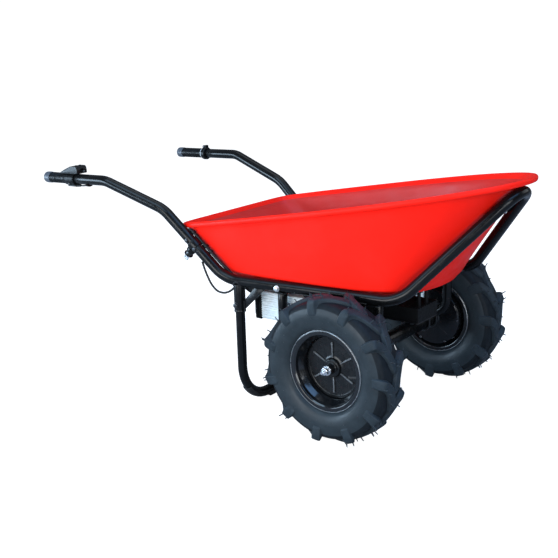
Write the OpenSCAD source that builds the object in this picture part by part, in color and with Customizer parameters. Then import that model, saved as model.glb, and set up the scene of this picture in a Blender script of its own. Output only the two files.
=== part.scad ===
// Two-wheel powered concrete buggy: poly tub on a bent tube frame, two hub-motor
// wheels on a fixed beam axle, U-shaped stand, twist-grip throttle.
// x forward, y left, z up, millimetres, ground at z = 0.

/* [Wheels] */
// Outside diameter over the tread lugs
tyre_d = 410; // [400:1:412]
// Width of the tyre section
tyre_w = 106; // [104:1:108]
// Distance between the two wheel centre planes
track = 600; // [596:1:610]
// Tread lugs on each half of a tyre
lug_count = 11; // [10:1:12]

/* [Frame] */
// Outside diameter of the frame and handle tubes
tube_d = 32; // [31:0.5:33]
// Outside diameter of the stand and cradle tubes
leg_d = 28; // [27:0.5:28]
// Wall thickness of all tubes
tube_t = 2; // [1.5:0.25:2.5]
// Height of the level run of the frame rails (tube centre)
rail_z = 391; // [390:0.5:392]
// Half spacing of the hand grips
grip_y = 313; // [310:1:318]

/* [Tub] */
// Wall thickness of the tub
tub_t = 5; // [4:0.5:6]
// Height of the rim at the rear edge
rim_z = 540; // [536:1:544]
// Rise of the rim towards the nose, per millimetre of length
rim_rise = 0.1762; // [0.17:0.001:0.18]

/* [Battery] */
// Length of the finned battery case without its end caps
case_l = 202; // [200:1:206]
// Pitch of the fins on the battery case
fin_pitch = 7; // [6:0.5:8]

/* [Controls] */
// Outside diameter of the hand grips
grip_d = 34; // [33:0.5:35]
// Diameter of the thin end stub that carries the grips
stub_d = 22; // [21:0.5:22]

/* [Hidden] */
$fn = 64;

// axle position along x, so that the part is centred on its own length
axle_x = 344.5;
tr = tyre_d/2;
wr = track/2;
rt = tube_d/2;
rl = leg_d/2;

// rail and handle route on the left side: tube end, bends, joint, lower corners, nose
H0 = [-1113, grip_y, 646];
H1 = [-834, grip_y, 654.4];
H2 = [-618, 286, 581];
P3 = [-403, 266, rail_z];
P4 = [152, 210, rail_z];
AP = [458.6, 0, rail_z + 352.4];
slope = (H2 - P3)/norm(H2 - P3);
J = P3 + 143*slope;
function my(p) = [p[0], -p[1], p[2]];
function side(p, s) = [p[0], s*p[1], p[2]];
function unit(v) = v/norm(v);
function rail_y(x) = P3[1] + (x - P3[0])/(P4[0] - P3[0])*(P4[1] - P3[1]);

// ---------- shared shapes ----------
module place() { translate([axle_x, 0, 0]) children(); }
module along(a, b) {
  d = b - a;
  translate(a) rotate([0, acos(d[2]/norm(d)), atan2(d[1], d[0])]) children();
}
module ring(ro, ri, h) {
  difference() { cylinder(r = ro, h = h); translate([0, 0, -1]) cylinder(r = ri, h = h + 2); }
}
module rod(a, b, r) { along(a, b) cylinder(r = r, h = norm(b - a)); }
module pipe(a, b, r, t) {
  along(a, b) if (t > 0) ring(r, r - t, norm(b - a)); else cylinder(r = r, h = norm(b - a));
}
// turn of a corner between two straight runs and how much run it uses up
function turn(p0, p1, p2) = acos(min(1, unit(p1 - p0)*unit(p2 - p1)));
function cut(p, q, r, i) = i == 0 || i == len(p) - 1 ? 0 : q[i - 1]*tan(turn(p[i - 1], p[i], p[i + 1])/2);
module elbow(p0, p1, p2, bend, r, t) {
  u = unit(p1 - p0);
  v = unit(p2 - p1);
  n = unit(v - u*(u*v));
  w = cross(-n, u);
  c = p1 - u*bend*tan(turn(p0, p1, p2)/2) + n*bend;
  multmatrix([[-n[0], u[0], w[0], c[0]], [-n[1], u[1], w[1], c[1]], [-n[2], u[2], w[2], c[2]], [0, 0, 0, 1]])
    rotate_extrude(angle = turn(p0, p1, p2)) translate([bend, 0])
      difference() { circle(r); if (t > 0) circle(r - t); }
}
// bent tube through a list of corner points with a bend radius at each inner corner
module bent_tube(p, q, r, t) {
  for (i = [0 : len(p) - 2]) {
    u = unit(p[i + 1] - p[i]);
    pipe(p[i] + u*cut(p, q, r, i), p[i + 1] - u*cut(p, q, r, i + 1), r, t);
  }
  for (i = [1 : len(p) - 2]) {
    elbow(p[i - 1], p[i], p[i + 1], q[i - 1], r, t);
    // thin weld bands that join each bend to its straight runs
    for (e = [-1, 1]) {
      u = e < 0 ? unit(p[i - 1] - p[i]) : unit(p[i + 1] - p[i]);
      c = p[i] + u*cut(p, q, r, i);
      pipe(c - 1.5*u, c + 1.5*u, r + 0.2, t + 0.4);
    }
  }
}
module hex(af, h) { cylinder(r = af/2/cos(30), h = h, $fn = 6); }
module bolt(l, r, af, head) { hex(af, head); translate([0, 0, -l]) cylinder(r = r, h = l + 0.1); }

// smooth curve through hand-set points, and a round cable swept along it
function cpt(p, i) = p[max(0, min(len(p) - 1, i))];
function crom(p, i, t) = let (a = cpt(p, i - 1), b = cpt(p, i), c = cpt(p, i + 1), d = cpt(p, i + 2))
  0.5*(2*b + (c - a)*t + (2*a - 5*b + 4*c - d)*t*t + (3*b - a - 3*c + d)*t*t*t);
function smooth(p, m) = concat([for (i = [0 : len(p) - 2]) for (j = [0 : m - 1]) crom(p, i, j/m)], [p[len(p) - 1]]);
function tang(c, i) = unit(cpt(c, i + 1) - cpt(c, i - 1));
module cable(p, d, m, sides) {
  c = smooth(p, m);
  n = len(c);
  pts = [for (i = [0 : n - 1]) let (t = tang(c, i), a = unit(cross(t, [0.02, 1, 0.05])), b = cross(t, a))
    for (k = [0 : sides - 1]) c[i] + d/2*(cos(360*k/sides)*a + sin(360*k/sides)*b)];
  polyhedron(pts, concat(
    [[for (k = [0 : sides - 1]) k]],
    [for (i = [0 : n - 2]) for (k = [0 : sides - 1]) let (e = (k + 1) % sides) each [
      [i*sides + k, (i + 1)*sides + e, i*sides + e], [i*sides + k, (i + 1)*sides + k, (i + 1)*sides + e]]],
    [[for (k = [sides - 1 : -1 : 0]) (n - 1)*sides + k]]));
}

// ---------- frame ----------
loop_pts = [my(J), my(P3), my(P4), AP, P4, P3, J];
loop_bend = [120, 110, 64, 110, 120];
// cradle posts; a bolt crosses the rail sideways at each rear post, the front posts are welded
post_x = [-213, 80];
function bolt_y(x) = rail_y(x);
module rail_holes() {
  for (s = [-1, 1]) {
    for (x = [post_x[0]]) translate([x, s*rail_y(x), rail_z - 3]) rotate([90, 0, 0]) cylinder(r = 4.2, h = 60, center = true);
    for (k = [-18, 18]) translate(side(J + k*slope, s)) rotate([90, 0, 0]) cylinder(r = 3.2, h = 60, center = true);
  }
}
module main_frame() {
  place() color([0.03, 0.03, 0.035]) difference() { bent_tube(loop_pts, loop_bend, rt, tube_t); rail_holes(); }
}
bar_dir = unit(H1 - H0);
stub_end = 150;
module handle(s) {
  place() color([0.03, 0.03, 0.035]) {
    difference() {
      bent_tube([side(H0 + bar_dir*stub_end, s), side(H1, s), side(H2, s), side(J + 0.3*slope, s)], [90, 120], rt, tube_t);
      rail_holes();
    }
    pipe(side(H0 + bar_dir*4, s), side(H0 + bar_dir*(stub_end + 12), s), stub_d/2, tube_t);
    pipe(side(H0 + bar_dir*stub_end, s), side(H0 + bar_dir*(stub_end + 3), s), rt - 0.5, rt - stub_d/2 + 0.5);
  }
}
module handle_tube_right() { handle(-1); }
module handle_tube_left() { handle(1); }
module handle_spigots() {
  place() color([0.25, 0.25, 0.26]) difference() {
    for (s = [-1, 1]) pipe(side(J - 45*slope, s), side(J + 45*slope, s), rt - tube_t - 0.15, 2);
    rail_holes();
  }
}
cross_x = [-322, -130, 118];
// half thickness and height of each cross member: two tubes and a flat bar, with their tops level
cross_r = [rl, rl, 3];
cross_z = [rail_z - rl, rail_z - rl, rail_z - 3];
bar_w = 36;
// tub bolts: cross member and distance from the centre line
tub_bolts = [[0, 40], [2, 26], [2, 56]];
module cross_tubes() {
  place() color([0.03, 0.03, 0.035]) difference() {
    for (i = [0 : 1]) translate([cross_x[i], 0, cross_z[i]]) rotate([90, 0, 0]) difference() {
      cylinder(r = cross_r[i], h = 2*rail_y(cross_x[i]), center = true);
      cylinder(r = cross_r[i] - tube_t, h = 600, center = true);
    }
    translate([cross_x[2], 0, cross_z[2]]) cube([bar_w, 2*rail_y(cross_x[2]), 6], center = true);
    for (s = [-1, 1]) {
      rod(side(P3, s), side(P4, s), rt + 0.05);
      elbow(side(P3, s), side(P4, s), AP, loop_bend[1], rt + 0.05, 0);
    }
    for (b = tub_bolts, s = [-1, 1]) translate([cross_x[b[0]], b[1]*s, rail_z]) cylinder(r = 4.3, h = 80, center = true);
  }
}
// nose plate between the converging rails, square to the front wall of the tub
nose_p = [341.7, 0, 626];
module nose_frame() {
  translate(nose_p) rotate([0, 125.5, 0]) children();
}
module nose_plate() {
  place() color([0.03, 0.03, 0.035]) difference() {
    nose_frame() translate([0, 0, 1.5]) linear_extrude(height = 4) polygon([[22, -86], [22, 86], [-22, 64], [-22, -64]]);
    for (s = [-1, 1]) rod(side(P4, s), AP, rt + 0.05);
    nose_frame() cylinder(r = 4.3, h = 40, center = true);
  }
}

// ---------- tub ----------
RIMC = [[-586, 0], [-586, 130], [-582, 224], [-553, 257], [-480, 271], [-340, 280], [-185, 281],
  [-34, 276], [116, 254], [238, 213], [340, 150], [399, 78], [420, 0]];
TOPC = [[-571, 0], [-571, 125], [-568, 215], [-541, 250], [-470, 263], [-340, 269], [-185, 270],
  [-36, 265], [108, 242], [224, 203], [314, 143], [365, 70], [381, 0]];
BOTC = [[-457, 0], [-457, 110], [-455, 195], [-433, 235], [-362, 249], [-255, 251], [-150, 247],
  [-50, 239], [45, 225], [130, 190], [172, 132], [192, 67], [198, 0]];
// narrower foot of the tub that drops between the rails
FOOTC = [[-450, 0], [-450, 110], [-448, 184], [-428, 220], [-358, 231], [-255, 228], [-150, 216],
  [-50, 206], [45, 195], [118, 170], [154, 121], [174, 62], [180, 0]];
tub_m = 4;
tub_z = rail_z + 3;
function zr(x) = rim_z + rim_rise*(x + 568);
function mir(p, i) = i < 0 ? [p[-i][0], -p[-i][1]] : i > 12 ? [p[24 - i][0], -p[24 - i][1]] : p[i];
function mcr(p, i, t) = let (a = mir(p, i - 1), b = mir(p, i), c = mir(p, i + 1), d = mir(p, i + 2))
  0.5*(2*b + (c - a)*t + (2*a - 5*b + 4*c - d)*t*t + (3*b - a - 3*c + d)*t*t*t);
function outline(p) = let (h = concat([for (i = [0 : 11]) for (j = [0 : tub_m - 1]) mcr(p, i, j/tub_m)], [p[12]]), n = len(h))
  concat(h, [for (k = [n - 2 : -1 : 1]) [h[k][0], -h[k][1]]]);
function grow(o, d) = let (n = len(o)) [for (k = [0 : n - 1])
  let (t = unit(o[(k + 1) % n] - o[(k + n - 1) % n])) o[k] + d*[-t[1], t[0]]];
function flat(o, z) = [for (p = o) [p[0], p[1], z]];
function tilt(o, dz) = [for (p = o) [p[0], p[1], zr(p[0]) + dz]];
function mix(a, b, t) = [for (k = [0 : len(a) - 1]) a[k]*(1 - t) + b[k]*t];
// the wall from ring a to ring b, carried on to the height z
function low(a, b, z) = [for (k = [0 : len(a) - 1]) let (t = (z - a[k][2])/(b[k][2] - a[k][2])) a[k]*(1 - t) + b[k]*t];
module tub_shell() {
  f = outline(FOOTC);
  b = outline(BOTC);
  w = outline(TOPC);
  r = outline(RIMC);
  f0 = flat(f, tub_z + 6);
  o0 = flat(b, tub_z + 30);
  o1 = tilt(w, -26);
  k0 = low(o0, o1, tub_z + 20);
  k1 = flat(grow([for (p = k0) [p[0], p[1]]], -2), tub_z + 16);
  g0 = flat(grow(f, -tub_t), tub_z + 10);
  i0 = flat(grow(b, -tub_t), tub_z + 32);
  i1 = tilt(grow(w, -tub_t), -24);
  h0 = low(i0, i1, tub_z + 23);
  rings = [flat(grow(f, -40), tub_z), flat(grow(f, -12), tub_z), flat(grow(f, -4), tub_z + 2), f0, mix(f0, k1, 0.5), k1, k0,
    mix(o0, o1, 0.33), mix(o0, o1, 0.67), o1, tilt(mix(w, r, 0.55), -12), tilt(grow(r, 2), -16), tilt(grow(r, 6), -12),
    tilt(grow(r, 7), -5), tilt(grow(r, 2), 0), tilt(mix(w, r, 0.7), -2), tilt(mix(grow(w, -tub_t), r, 0.3), -10), i1,
    mix(i0, i1, 0.67), mix(i0, i1, 0.33), h0, mix(h0, g0, 0.5), g0, flat(grow(f, -tub_t - 6), tub_z + tub_t + 1.5), flat(grow(f, -tub_t - 15), tub_z + tub_t),
    flat(grow(f, -45), tub_z + tub_t)];
  n = len(b);
  m = len(rings);
  polyhedron([for (g = rings) each g], concat(
    [[for (k = [n - 1 : -1 : 0]) k]],
    [for (i = [0 : m - 2]) for (k = [0 : n - 1]) let (e = (k + 1) % n) each [
      [i*n + k, i*n + e, (i + 1)*n + e], [i*n + k, (i + 1)*n + e, (i + 1)*n + k]]],
    [[for (k = [0 : n - 1]) (m - 1)*n + k]]));
}
module tub() {
  place() color([0.86, 0.05, 0.03]) difference() {
    tub_shell();
    for (b = tub_bolts, s = [-1, 1]) translate([cross_x[b[0]], b[1]*s, tub_z]) cylinder(r = 4.4, h = 40, center = true);
    nose_frame() cylinder(r = 4.4, h = 40, center = true);
  }
}
module tub_fasteners() {
  place() color([0.75, 0.75, 0.76]) {
    for (b = tub_bolts, s = [-1, 1]) translate([cross_x[b[0]], b[1]*s, 0]) {
      r = cross_r[b[0]];
      zt = cross_z[b[0]];
      translate([0, 0, tub_z + tub_t + 0.05]) { cylinder(r = 11, h = 1.5); translate([0, 0, 1.5]) cylinder(r1 = 8, r2 = 5, h = 4); }
      translate([0, 0, zt - r - 12]) cylinder(r = 4, h = tub_z + tub_t - zt + r + 13);
      // spacer between the cross member and the floor of the tub, saddle-cut on a tube
      if (r > 5) difference() {
        translate([0, 0, zt + r - 2]) ring(11, 4.05, tub_z - zt - r + 1.95);
        translate([0, 0, zt]) rotate([90, 0, 0]) cylinder(r = r + 0.05, h = 60, center = true);
      }
      else translate([0, 0, zt + r + 0.05]) ring(11, 4.05, tub_z - zt - r - 0.1);
      translate([0, 0, zt - r - 1.7]) ring(8.5, 4.05, 1.5);
      translate([0, 0, zt - r - 8.5]) difference() { hex(13, 6.6); translate([0, 0, -1]) cylinder(r = 4.05, h = 9); }
    }
    nose_frame() {
      translate([0, 0, -6.7]) { cylinder(r = 11, h = 1.5); translate([0, 0, -3.5]) cylinder(r1 = 5, r2 = 8, h = 3.6); }
      translate([0, 0, -6]) cylinder(r = 4, h = 23.5);
      translate([0, 0, 5.6]) ring(8.5, 4.05, 1.5);
      translate([0, 0, 7.2]) difference() { hex(13, 6.6); translate([0, 0, -1]) cylinder(r = 4.05, h = 9); }
    }
  }
}

// ---------- stand ----------
stand_x = -354;
stand_y = rail_y(stand_x);
foot_z = rl + 3;
leg_bend = 110;
sleeve_z = 298;
leg_pts = [[stand_x, -stand_y, rail_z - rt - 6], [stand_x, -stand_y, foot_z], [stand_x, stand_y, foot_z], [stand_x, stand_y, rail_z - rt - 6]];
module stand_leg() {
  place() color([0.03, 0.03, 0.035]) difference() {
    bent_tube(leg_pts, [leg_bend, leg_bend], rl, tube_t);
    for (s = [-1, 1]) translate([stand_x, s*stand_y, sleeve_z + 22]) rotate([90, 0, 0]) cylinder(r = 4.2, h = 60, center = true);
  }
}
module stand_sleeves() {
  place() color([0.03, 0.03, 0.035]) difference() {
    for (s = [-1, 1]) translate([stand_x, s*stand_y, sleeve_z]) ring(rl + 3, rl + 0.15, rail_z - rt + 8 - sleeve_z);
    for (s = [-1, 1]) {
      rod(side(P3, s), side(P4, s), rt + 0.05);
      translate([stand_x, s*stand_y, sleeve_z + 22]) rotate([90, 0, 0]) cylinder(r = 4.2, h = 60, center = true);
    }
  }
}
module stand_braces() {
  place() color([0.03, 0.03, 0.035]) difference() {
    for (s = [-1, 1]) translate([stand_x, s*stand_y, 0]) rotate([90, 0, 0]) linear_extrude(height = 5, center = true)
      polygon([[rl + 3.2, 306], [rl + 3.2, 332], [58, 376], [86, 376]]);
    for (s = [-1, 1]) rod(side(P3, s), side(P4, s), rt + 0.05);
  }
}
module stand_shoes() {
  place() color([0.05, 0.05, 0.055]) for (s = [-1, 1]) {
    difference() {
      translate([stand_x, s*(stand_y - leg_bend - 30), 6]) cube([34, 62, 12], center = true);
      rod([stand_x, -400, foot_z], [stand_x, 400, foot_z], rl + 0.3);
    }
    // wear strip that hugs the outside of the bend
    translate([stand_x, s*(stand_y - leg_bend), foot_z + leg_bend]) rotate([90, 0, 90])
      mirror([s < 0 ? 1 : 0, 0, 0]) rotate([0, 0, -89]) rotate_extrude(angle = 52) translate([leg_bend, 0])
        difference() {
          circle(rl + 2.9);
          circle(rl + 0.1);
          translate([-60 + 4, -50]) square([60, 100]);
        }
  }
}

// ---------- axle cradle ----------
// inset of the cradle posts from the rail, rear and front
cr_in = [9, 24];
beam_r = 22.5;
run_z = tr + beam_r + rl + 0.2;
post_top = rail_z - rt - 4;
function cr_y(x) = let (a = rail_y(post_x[0]) - cr_in[0], b = rail_y(post_x[1]) - cr_in[1])
  a + (x - post_x[0])/(post_x[1] - post_x[0])*(b - a);
module cradle(s) {
  place() color([0.03, 0.03, 0.035])
    bent_tube([[post_x[0], s*cr_y(post_x[0]), post_top], [post_x[0], s*cr_y(post_x[0]), run_z],
      [post_x[1], s*cr_y(post_x[1]), run_z], [post_x[1], s*cr_y(post_x[1]), post_top]], [50, 50], rl, tube_t);
}
module axle_cradle_right() { cradle(-1); }
module axle_cradle_left() { cradle(1); }
module saddle_brackets() {
  place() color([0.03, 0.03, 0.035]) difference() {
    for (s = [-1, 1], x = post_x) translate([x, s*rail_y(x), 0]) {
      translate([0, -s*14, post_top + 2]) cube([36, 52, 3.6], center = true);
      translate([0, -s*(rt + 2.8), post_top + 14]) cube([36, 4, 27], center = true);
    }
    for (s = [-1, 1]) rod(side(P3, s), side(P4, s), rt + 0.05);
    for (s = [-1, 1]) translate([post_x[0], s*rail_y(post_x[0]), rail_z - 3]) rotate([90, 0, 0]) cylinder(r = 4.2, h = 90, center = true);
  }
}
module frame_bolts() {
  place() color([0.75, 0.75, 0.76]) {
    for (s = [-1, 1]) {
      for (x = [post_x[0]]) translate([x, s*(rail_y(x) + rt + 2.2), rail_z - 3]) rotate([-90*s, 0, 0]) {
        hex(13, 5.5);
        translate([0, 0, -1.6]) cylinder(r = 9, h = 1.7);
        translate([0, 0, -52]) cylinder(r = 4, h = 52.1);
        translate([0, 0, -49.5]) hex(13, 6.5);
      }
      translate([stand_x, s*(stand_y + rl + 3.2), sleeve_z + 22]) rotate([-90*s, 0, 0]) {
        hex(13, 5.5);
        translate([0, 0, -46]) cylinder(r = 4, h = 46.1);
        translate([0, 0, -44]) hex(13, 6.5);
      }
      for (k = [-18, 18]) translate(side(J + k*slope, s)) rotate([-90*s, 0, 0]) {
        translate([0, 0, rt + 0.3]) hex(10, 4);
        translate([0, 0, -rt - 8]) cylinder(r = 3, h = 2*rt + 8.4);
        translate([0, 0, -rt - 5.4]) hex(10, 5);
      }
    }
  }
  // screws of the control pod and of the locking collar
  bar_frame(-1) color([0.75, 0.75, 0.76]) for (y = [-15.5, 15.5]) translate([126, y, 0]) {
    translate([0, 0, -15.6]) cylinder(r = 3.4, h = 3.5);
    translate([0, 0, -12.2]) cylinder(r = 2, h = 20);
  }
  bar_frame(1) color([0.75, 0.75, 0.76]) translate([136, 0, 25]) rotate([90, 0, 0]) {
    translate([0, 0, -10]) cylinder(r = 2, h = 21);
    translate([0, 0, 8.1]) cylinder(r = 3.5, h = 3.4);
    translate([0, 0, -11.2]) hex(7, 3.1);
  }
}
module axle_beam() {
  place() color([0.03, 0.03, 0.035]) translate([0, 0, tr]) rotate([90, 0, 0]) {
    difference() {
      cylinder(r = beam_r, h = 2*(wr - 66), center = true);
      cylinder(r = beam_r - 4, h = 2*(wr - 66) - 132, center = true);
      cylinder(r = 7.52, h = 600, center = true);
    }
  }
}
module beam_u_bolts() {
  place() color([0.75, 0.75, 0.76]) for (s = [-1, 1]) translate([0, s*cr_y(0), tr]) {
    for (k = [-1, 1]) translate([0, k*22, 0]) {
      rotate([90, 0, 0]) rotate([0, 0, 180]) rotate_extrude(angle = 180) translate([beam_r + 3.4, 0]) circle(3);
      for (m = [-1, 1]) translate([m*(beam_r + 3.4), 0, 0]) {
        cylinder(r = 3, h = beam_r + 2*rl + 14);
        translate([0, 0, beam_r + 2*rl + 5.6]) hex(10, 5);
      }
    }
    translate([0, 0, beam_r + 2*rl + 2.9]) difference() {
      cube([70, 60, 5], center = true);
      for (k = [-1, 1], m = [-1, 1]) translate([m*(beam_r + 3.4), k*22, -5]) cylinder(r = 3.05, h = 10);
    }
  }
}

// ---------- wheels: local z points outwards, z = 0 on the wheel centre plane ----------
module wheel_frame(s) { place() translate([0, s*wr, tr]) rotate([-90*s, 0, 0]) children(); }
module axle_shaft(s) {
  wheel_frame(s) color([0.7, 0.7, 0.72]) {
    translate([0, 0, -128]) cylinder(r = 7.5, h = 157);
    translate([0, 0, 28.9]) cylinder(r = 6, h = 23);
    translate([0, 0, -45]) cylinder(r = 11, h = 33);
  }
}
module axle_shaft_right() { axle_shaft(-1); }
module axle_shaft_left() { axle_shaft(1); }
module stator(s) {
  wheel_frame(s) color([0.55, 0.32, 0.16]) translate([0, 0, -39]) difference() {
    cylinder(r = 74.6, h = 24);
    translate([0, 0, -1]) cylinder(r = 11.05, h = 26);
    for (k = [0 : 17]) rotate([0, 0, 20*k]) translate([44, -3, -1]) cube([27, 6, 26]);
    for (k = [0 : 17]) rotate([0, 0, 20*k]) translate([70, -1, -1]) cube([8, 2, 26]);
    for (k = [0 : 5]) rotate([0, 0, 60*k]) translate([27, 0, -1]) cylinder(r = 8, h = 26);
  }
}
module stator_right() { stator(-1); }
module stator_left() { stator(1); }
module axle_nuts() {
  for (s = [-1, 1]) wheel_frame(s) color([0.78, 0.78, 0.79]) {
    translate([0, 0, 26.3]) ring(13.5, 7.55, 2.6);
    translate([0, 0, 29.05]) ring(11, 6.05, 1.9);
    translate([0, 0, 31]) difference() { hex(19, 10); translate([0, 0, -1]) cylinder(r = 6.05, h = 12); }
  }
}
// one step of a tread lug: radii, widths, start and length of its arc, counted downwards at the front
module lug_sector(r0, r1, w0, w1, a0, a, s) {
  rotate([0, 0, s > 0 ? a0 : -a0 - a]) rotate_extrude(angle = a)
    polygon([[r0, w0], [r1, w0], [r1 - (w1 > 44 ? 9 : 0), w1], [r0 - (w1 > 44 ? 18 : 0), w1]]);
}
module tyre(s) {
  h = tyre_w/2;
  wheel_frame(s) color([0.05, 0.055, 0.06]) union() {
    rotate_extrude() polygon([
      [102, 33.9], [115.5, 33.9], [117.5, 37.9], [124, h - 8], [136, h - 3], [150, h], [165, h - 1], [179, h - 5], [187, h - 12], [190, h - 26], [191, 0],
      [190, 26 - h], [187, 12 - h], [179, 5 - h], [165, 1 - h], [150, -h], [136, 3 - h], [124, 8 - h], [117.5, -37.9], [115.5, -33.9], [102, -33.9], [102, -22],
      [112, -25], [124, -36], [136, 10 - h], [150, 8 - h], [165, 9 - h], [176, 14 - h], [182, 24 - h], [183, 0],
      [182, h - 24], [176, h - 14], [165, h - 9], [150, h - 8], [136, h - 10], [124, 36], [112, 25], [102, 22]]);
    for (k = [0 : lug_count - 1], m = [0, 1]) mirror([0, 0, m]) rotate([0, 0, s*((k + m/2)*360/lug_count + (s < 0 ? -1.5 : -21.9))]) {
      lug_sector(184, tr - 0.6, h - 20, h - 2.5, -4, 8, s);
      lug_sector(186, tr, h - 37, h - 19, 2, 9, s);
      lug_sector(187, tr - 0.4, 1, h - 36, 10, 12, s);
    }
  }
}
module tyre_right() { tyre(-1); }
module tyre_left() { tyre(1); }
module rim(s) {
  wheel_frame(s) color([0.04, 0.04, 0.045]) difference() {
    rotate_extrude() polygon([[115, 37.5], [115, 34.2], [101.8, 34.2], [101.8, 23], [92, 8], [92, -12], [101.8, -19], [101.8, -34.2],
      [115, -34.2], [115, -37.5], [99.5, -37.5], [98.6, -35], [98.6, -20.5], [89, -13.5], [89, 9.5], [98.6, 24.5], [98.6, 35], [99.5, 37.5]]);
    translate([100, 0, 29]) rotate([0, 90, 0]) cylinder(r = 4.1, h = 30, center = true);
  }
}
module rim_right() { rim(-1); }
module rim_left() { rim(1); }
module motor_cover(s) {
  wheel_frame(s) color([0.035, 0.035, 0.04]) {
    difference() {
      union() {
        translate([0, 0, -42]) ring(88.8, 82.2, 34.1);
        translate([0, 0, -8]) cylinder(r = 88.8, h = 4);
        translate([0, 0, -4.1]) cylinder(r = 25, h = 10.1);
        translate([0, 0, 5.9]) cylinder(r = 14, h = 20);
        for (k = [0 : 5]) rotate([0, 0, 60*k + 32]) translate([27, -2.25, -4.1]) cube([46, 4.5, 3.1]);
      }
      translate([0, 0, -50]) cylinder(r = 17.5, h = 53.1);
      translate([0, 0, -20]) cylinder(r = 8.4, h = 60);
      for (k = [0 : 5]) rotate([0, 0, 60*k]) translate([85.5, 0, -45]) cylinder(r = 2.05, h = 15);
    }
  }
}
module motor_cover_right() { motor_cover(-1); }
module motor_cover_left() { motor_cover(1); }
module motor_back(s) {
  wheel_frame(s) color([0.035, 0.035, 0.04]) difference() {
    rotate_extrude() polygon([[8.6, -62], [26, -62], [30, -58], [58, -55], [78, -49], [88.8, -46], [88.8, -42.1], [76, -42.1], [56, -50.5],
      [30, -53.5], [26, -47], [17.5, -47], [17.5, -59], [8.6, -59]]);
    for (k = [0 : 5]) rotate([0, 0, 60*k]) translate([85.5, 0, -50]) cylinder(r = 2.05, h = 15);
  }
}
module motor_back_right() { motor_back(-1); }
module motor_back_left() { motor_back(1); }
module magnets(s) {
  wheel_frame(s) color([0.6, 0.6, 0.62]) for (k = [0 : 19]) rotate([0, 0, 18*k]) translate([0, 0, -39])
    rotate_extrude(angle = 16) translate([76, 0]) square([6.1, 26]);
}
module magnets_right() { magnets(-1); }
module magnets_left() { magnets(1); }
module bearings(s) {
  wheel_frame(s) color([0.7, 0.7, 0.72]) for (z = [-8, -58.9]) translate([0, 0, z]) ring(17.48, 7.55, 11);
}
module bearings_right() { bearings(-1); }
module bearings_left() { bearings(1); }
module cover_screws(s) {
  wheel_frame(s) color([0.3, 0.3, 0.32]) for (k = [0 : 5]) rotate([0, 0, 60*k]) translate([85.5, 0, 0]) {
    translate([0, 0, -51.2]) cylinder(r = 3.3, h = 3.2);
    translate([0, 0, -48.1]) cylinder(r = 2, h = 16);
  }
}
module cover_screws_right() { cover_screws(-1); }
module cover_screws_left() { cover_screws(1); }
module valve(s) {
  wheel_frame(s) color([0.1, 0.1, 0.1]) translate([101.2, 0, 29]) rotate([0, -90, 0]) {
    translate([0, 0, -0.5]) cylinder(r = 4, h = 3.1);
    translate([0, 0, 2.5]) rotate([0, 22, 0]) { cylinder(r = 3.6, h = 16); translate([0, 0, 16]) cylinder(r = 4.4, h = 9); }
  }
}
module valve_right() { valve(-1); }
module valve_left() { valve(1); }

// ---------- battery and controller ----------
bx0 = -311;
bat_y = [-215, -75];
bat_z = [272, 355];
module bat_profile() {
  difference() {
    translate([bat_y[0], bat_z[0]]) square([bat_y[1] - bat_y[0], bat_z[1] - bat_z[0]]);
    for (k = [0 : floor((bat_z[1] - bat_z[0] - 10)/fin_pitch)]) for (y = [bat_y[0] - 1, bat_y[1] - 2.5])
      translate([y, bat_z[0] + 6 + k*fin_pitch]) square([3.5, fin_pitch - 3.2]);
  }
}
module battery_case() {
  place() color([0.74, 0.8, 0.83]) translate([bx0, 0, 0]) rotate([90, 0, 90]) linear_extrude(height = case_l) difference() {
    bat_profile();
    translate([bat_y[0] + 6, bat_z[0] + 5]) square([bat_y[1] - bat_y[0] - 12, bat_z[1] - bat_z[0] - 10]);
  }
}
module bat_cap(x, l) {
  translate([x, 0, 0]) rotate([90, 0, 90]) linear_extrude(height = l)
    polygon([[bat_y[0], bat_z[0] + 10], [bat_y[0] + 10, bat_z[0]], [bat_y[1] - 10, bat_z[0]], [bat_y[1], bat_z[0] + 10], [bat_y[1], bat_z[1]], [bat_y[0], bat_z[1]]]);
}
module battery_caps() {
  place() color([0.04, 0.04, 0.045]) difference() {
    union() {
      bat_cap(bx0 - 24, 23.95);
      bat_cap(bx0 + case_l + 0.05, 19);
      translate([bx0 - 24, -190, 335]) rotate([0, -90, 0]) ring(9, 5.2, 8);
    }
    for (x = [bx0 - 20, bx0 + case_l - 1]) translate([x, bat_y[0] + 6, bat_z[0] + 12]) cube([x < -200 ? 30 : 16, bat_y[1] - bat_y[0] - 12, bat_z[1] - bat_z[0] - 17]);
  }
}
module battery_cells() {
  place() color([0.2, 0.35, 0.6]) for (i = [0 : 4], j = [0 : 2]) translate([bx0 + 6 + i*38.4, bat_y[0] + 9 + j*41, bat_z[0] + 7]) cube([36.5, 39.5, 68]);
}
module bat_strap(x) {
  translate([x - 9, 0, 0]) rotate([90, 0, 90]) linear_extrude(height = 18) difference() {
    translate([bat_y[0] - 3.5, bat_z[0] - 3.5]) square([bat_y[1] - bat_y[0] + 7, bat_z[1] - bat_z[0] + 7]);
    translate([bat_y[0] - 0.5, bat_z[0] - 0.5]) square([bat_y[1] - bat_y[0] + 1, bat_z[1] - bat_z[0] + 1]);
  }
  for (y = [-185, -105]) translate([x, y, bat_z[1] + 3.4]) cylinder(r = 7, h = cross_z[0] - rl - bat_z[1] - 3.5);
}
module battery_straps() { place() color([0.03, 0.03, 0.035]) { bat_strap(cross_x[0]); bat_strap(cross_x[1]); } }
con = [[-142, -64, 288], [270, 110, 44]];
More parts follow.
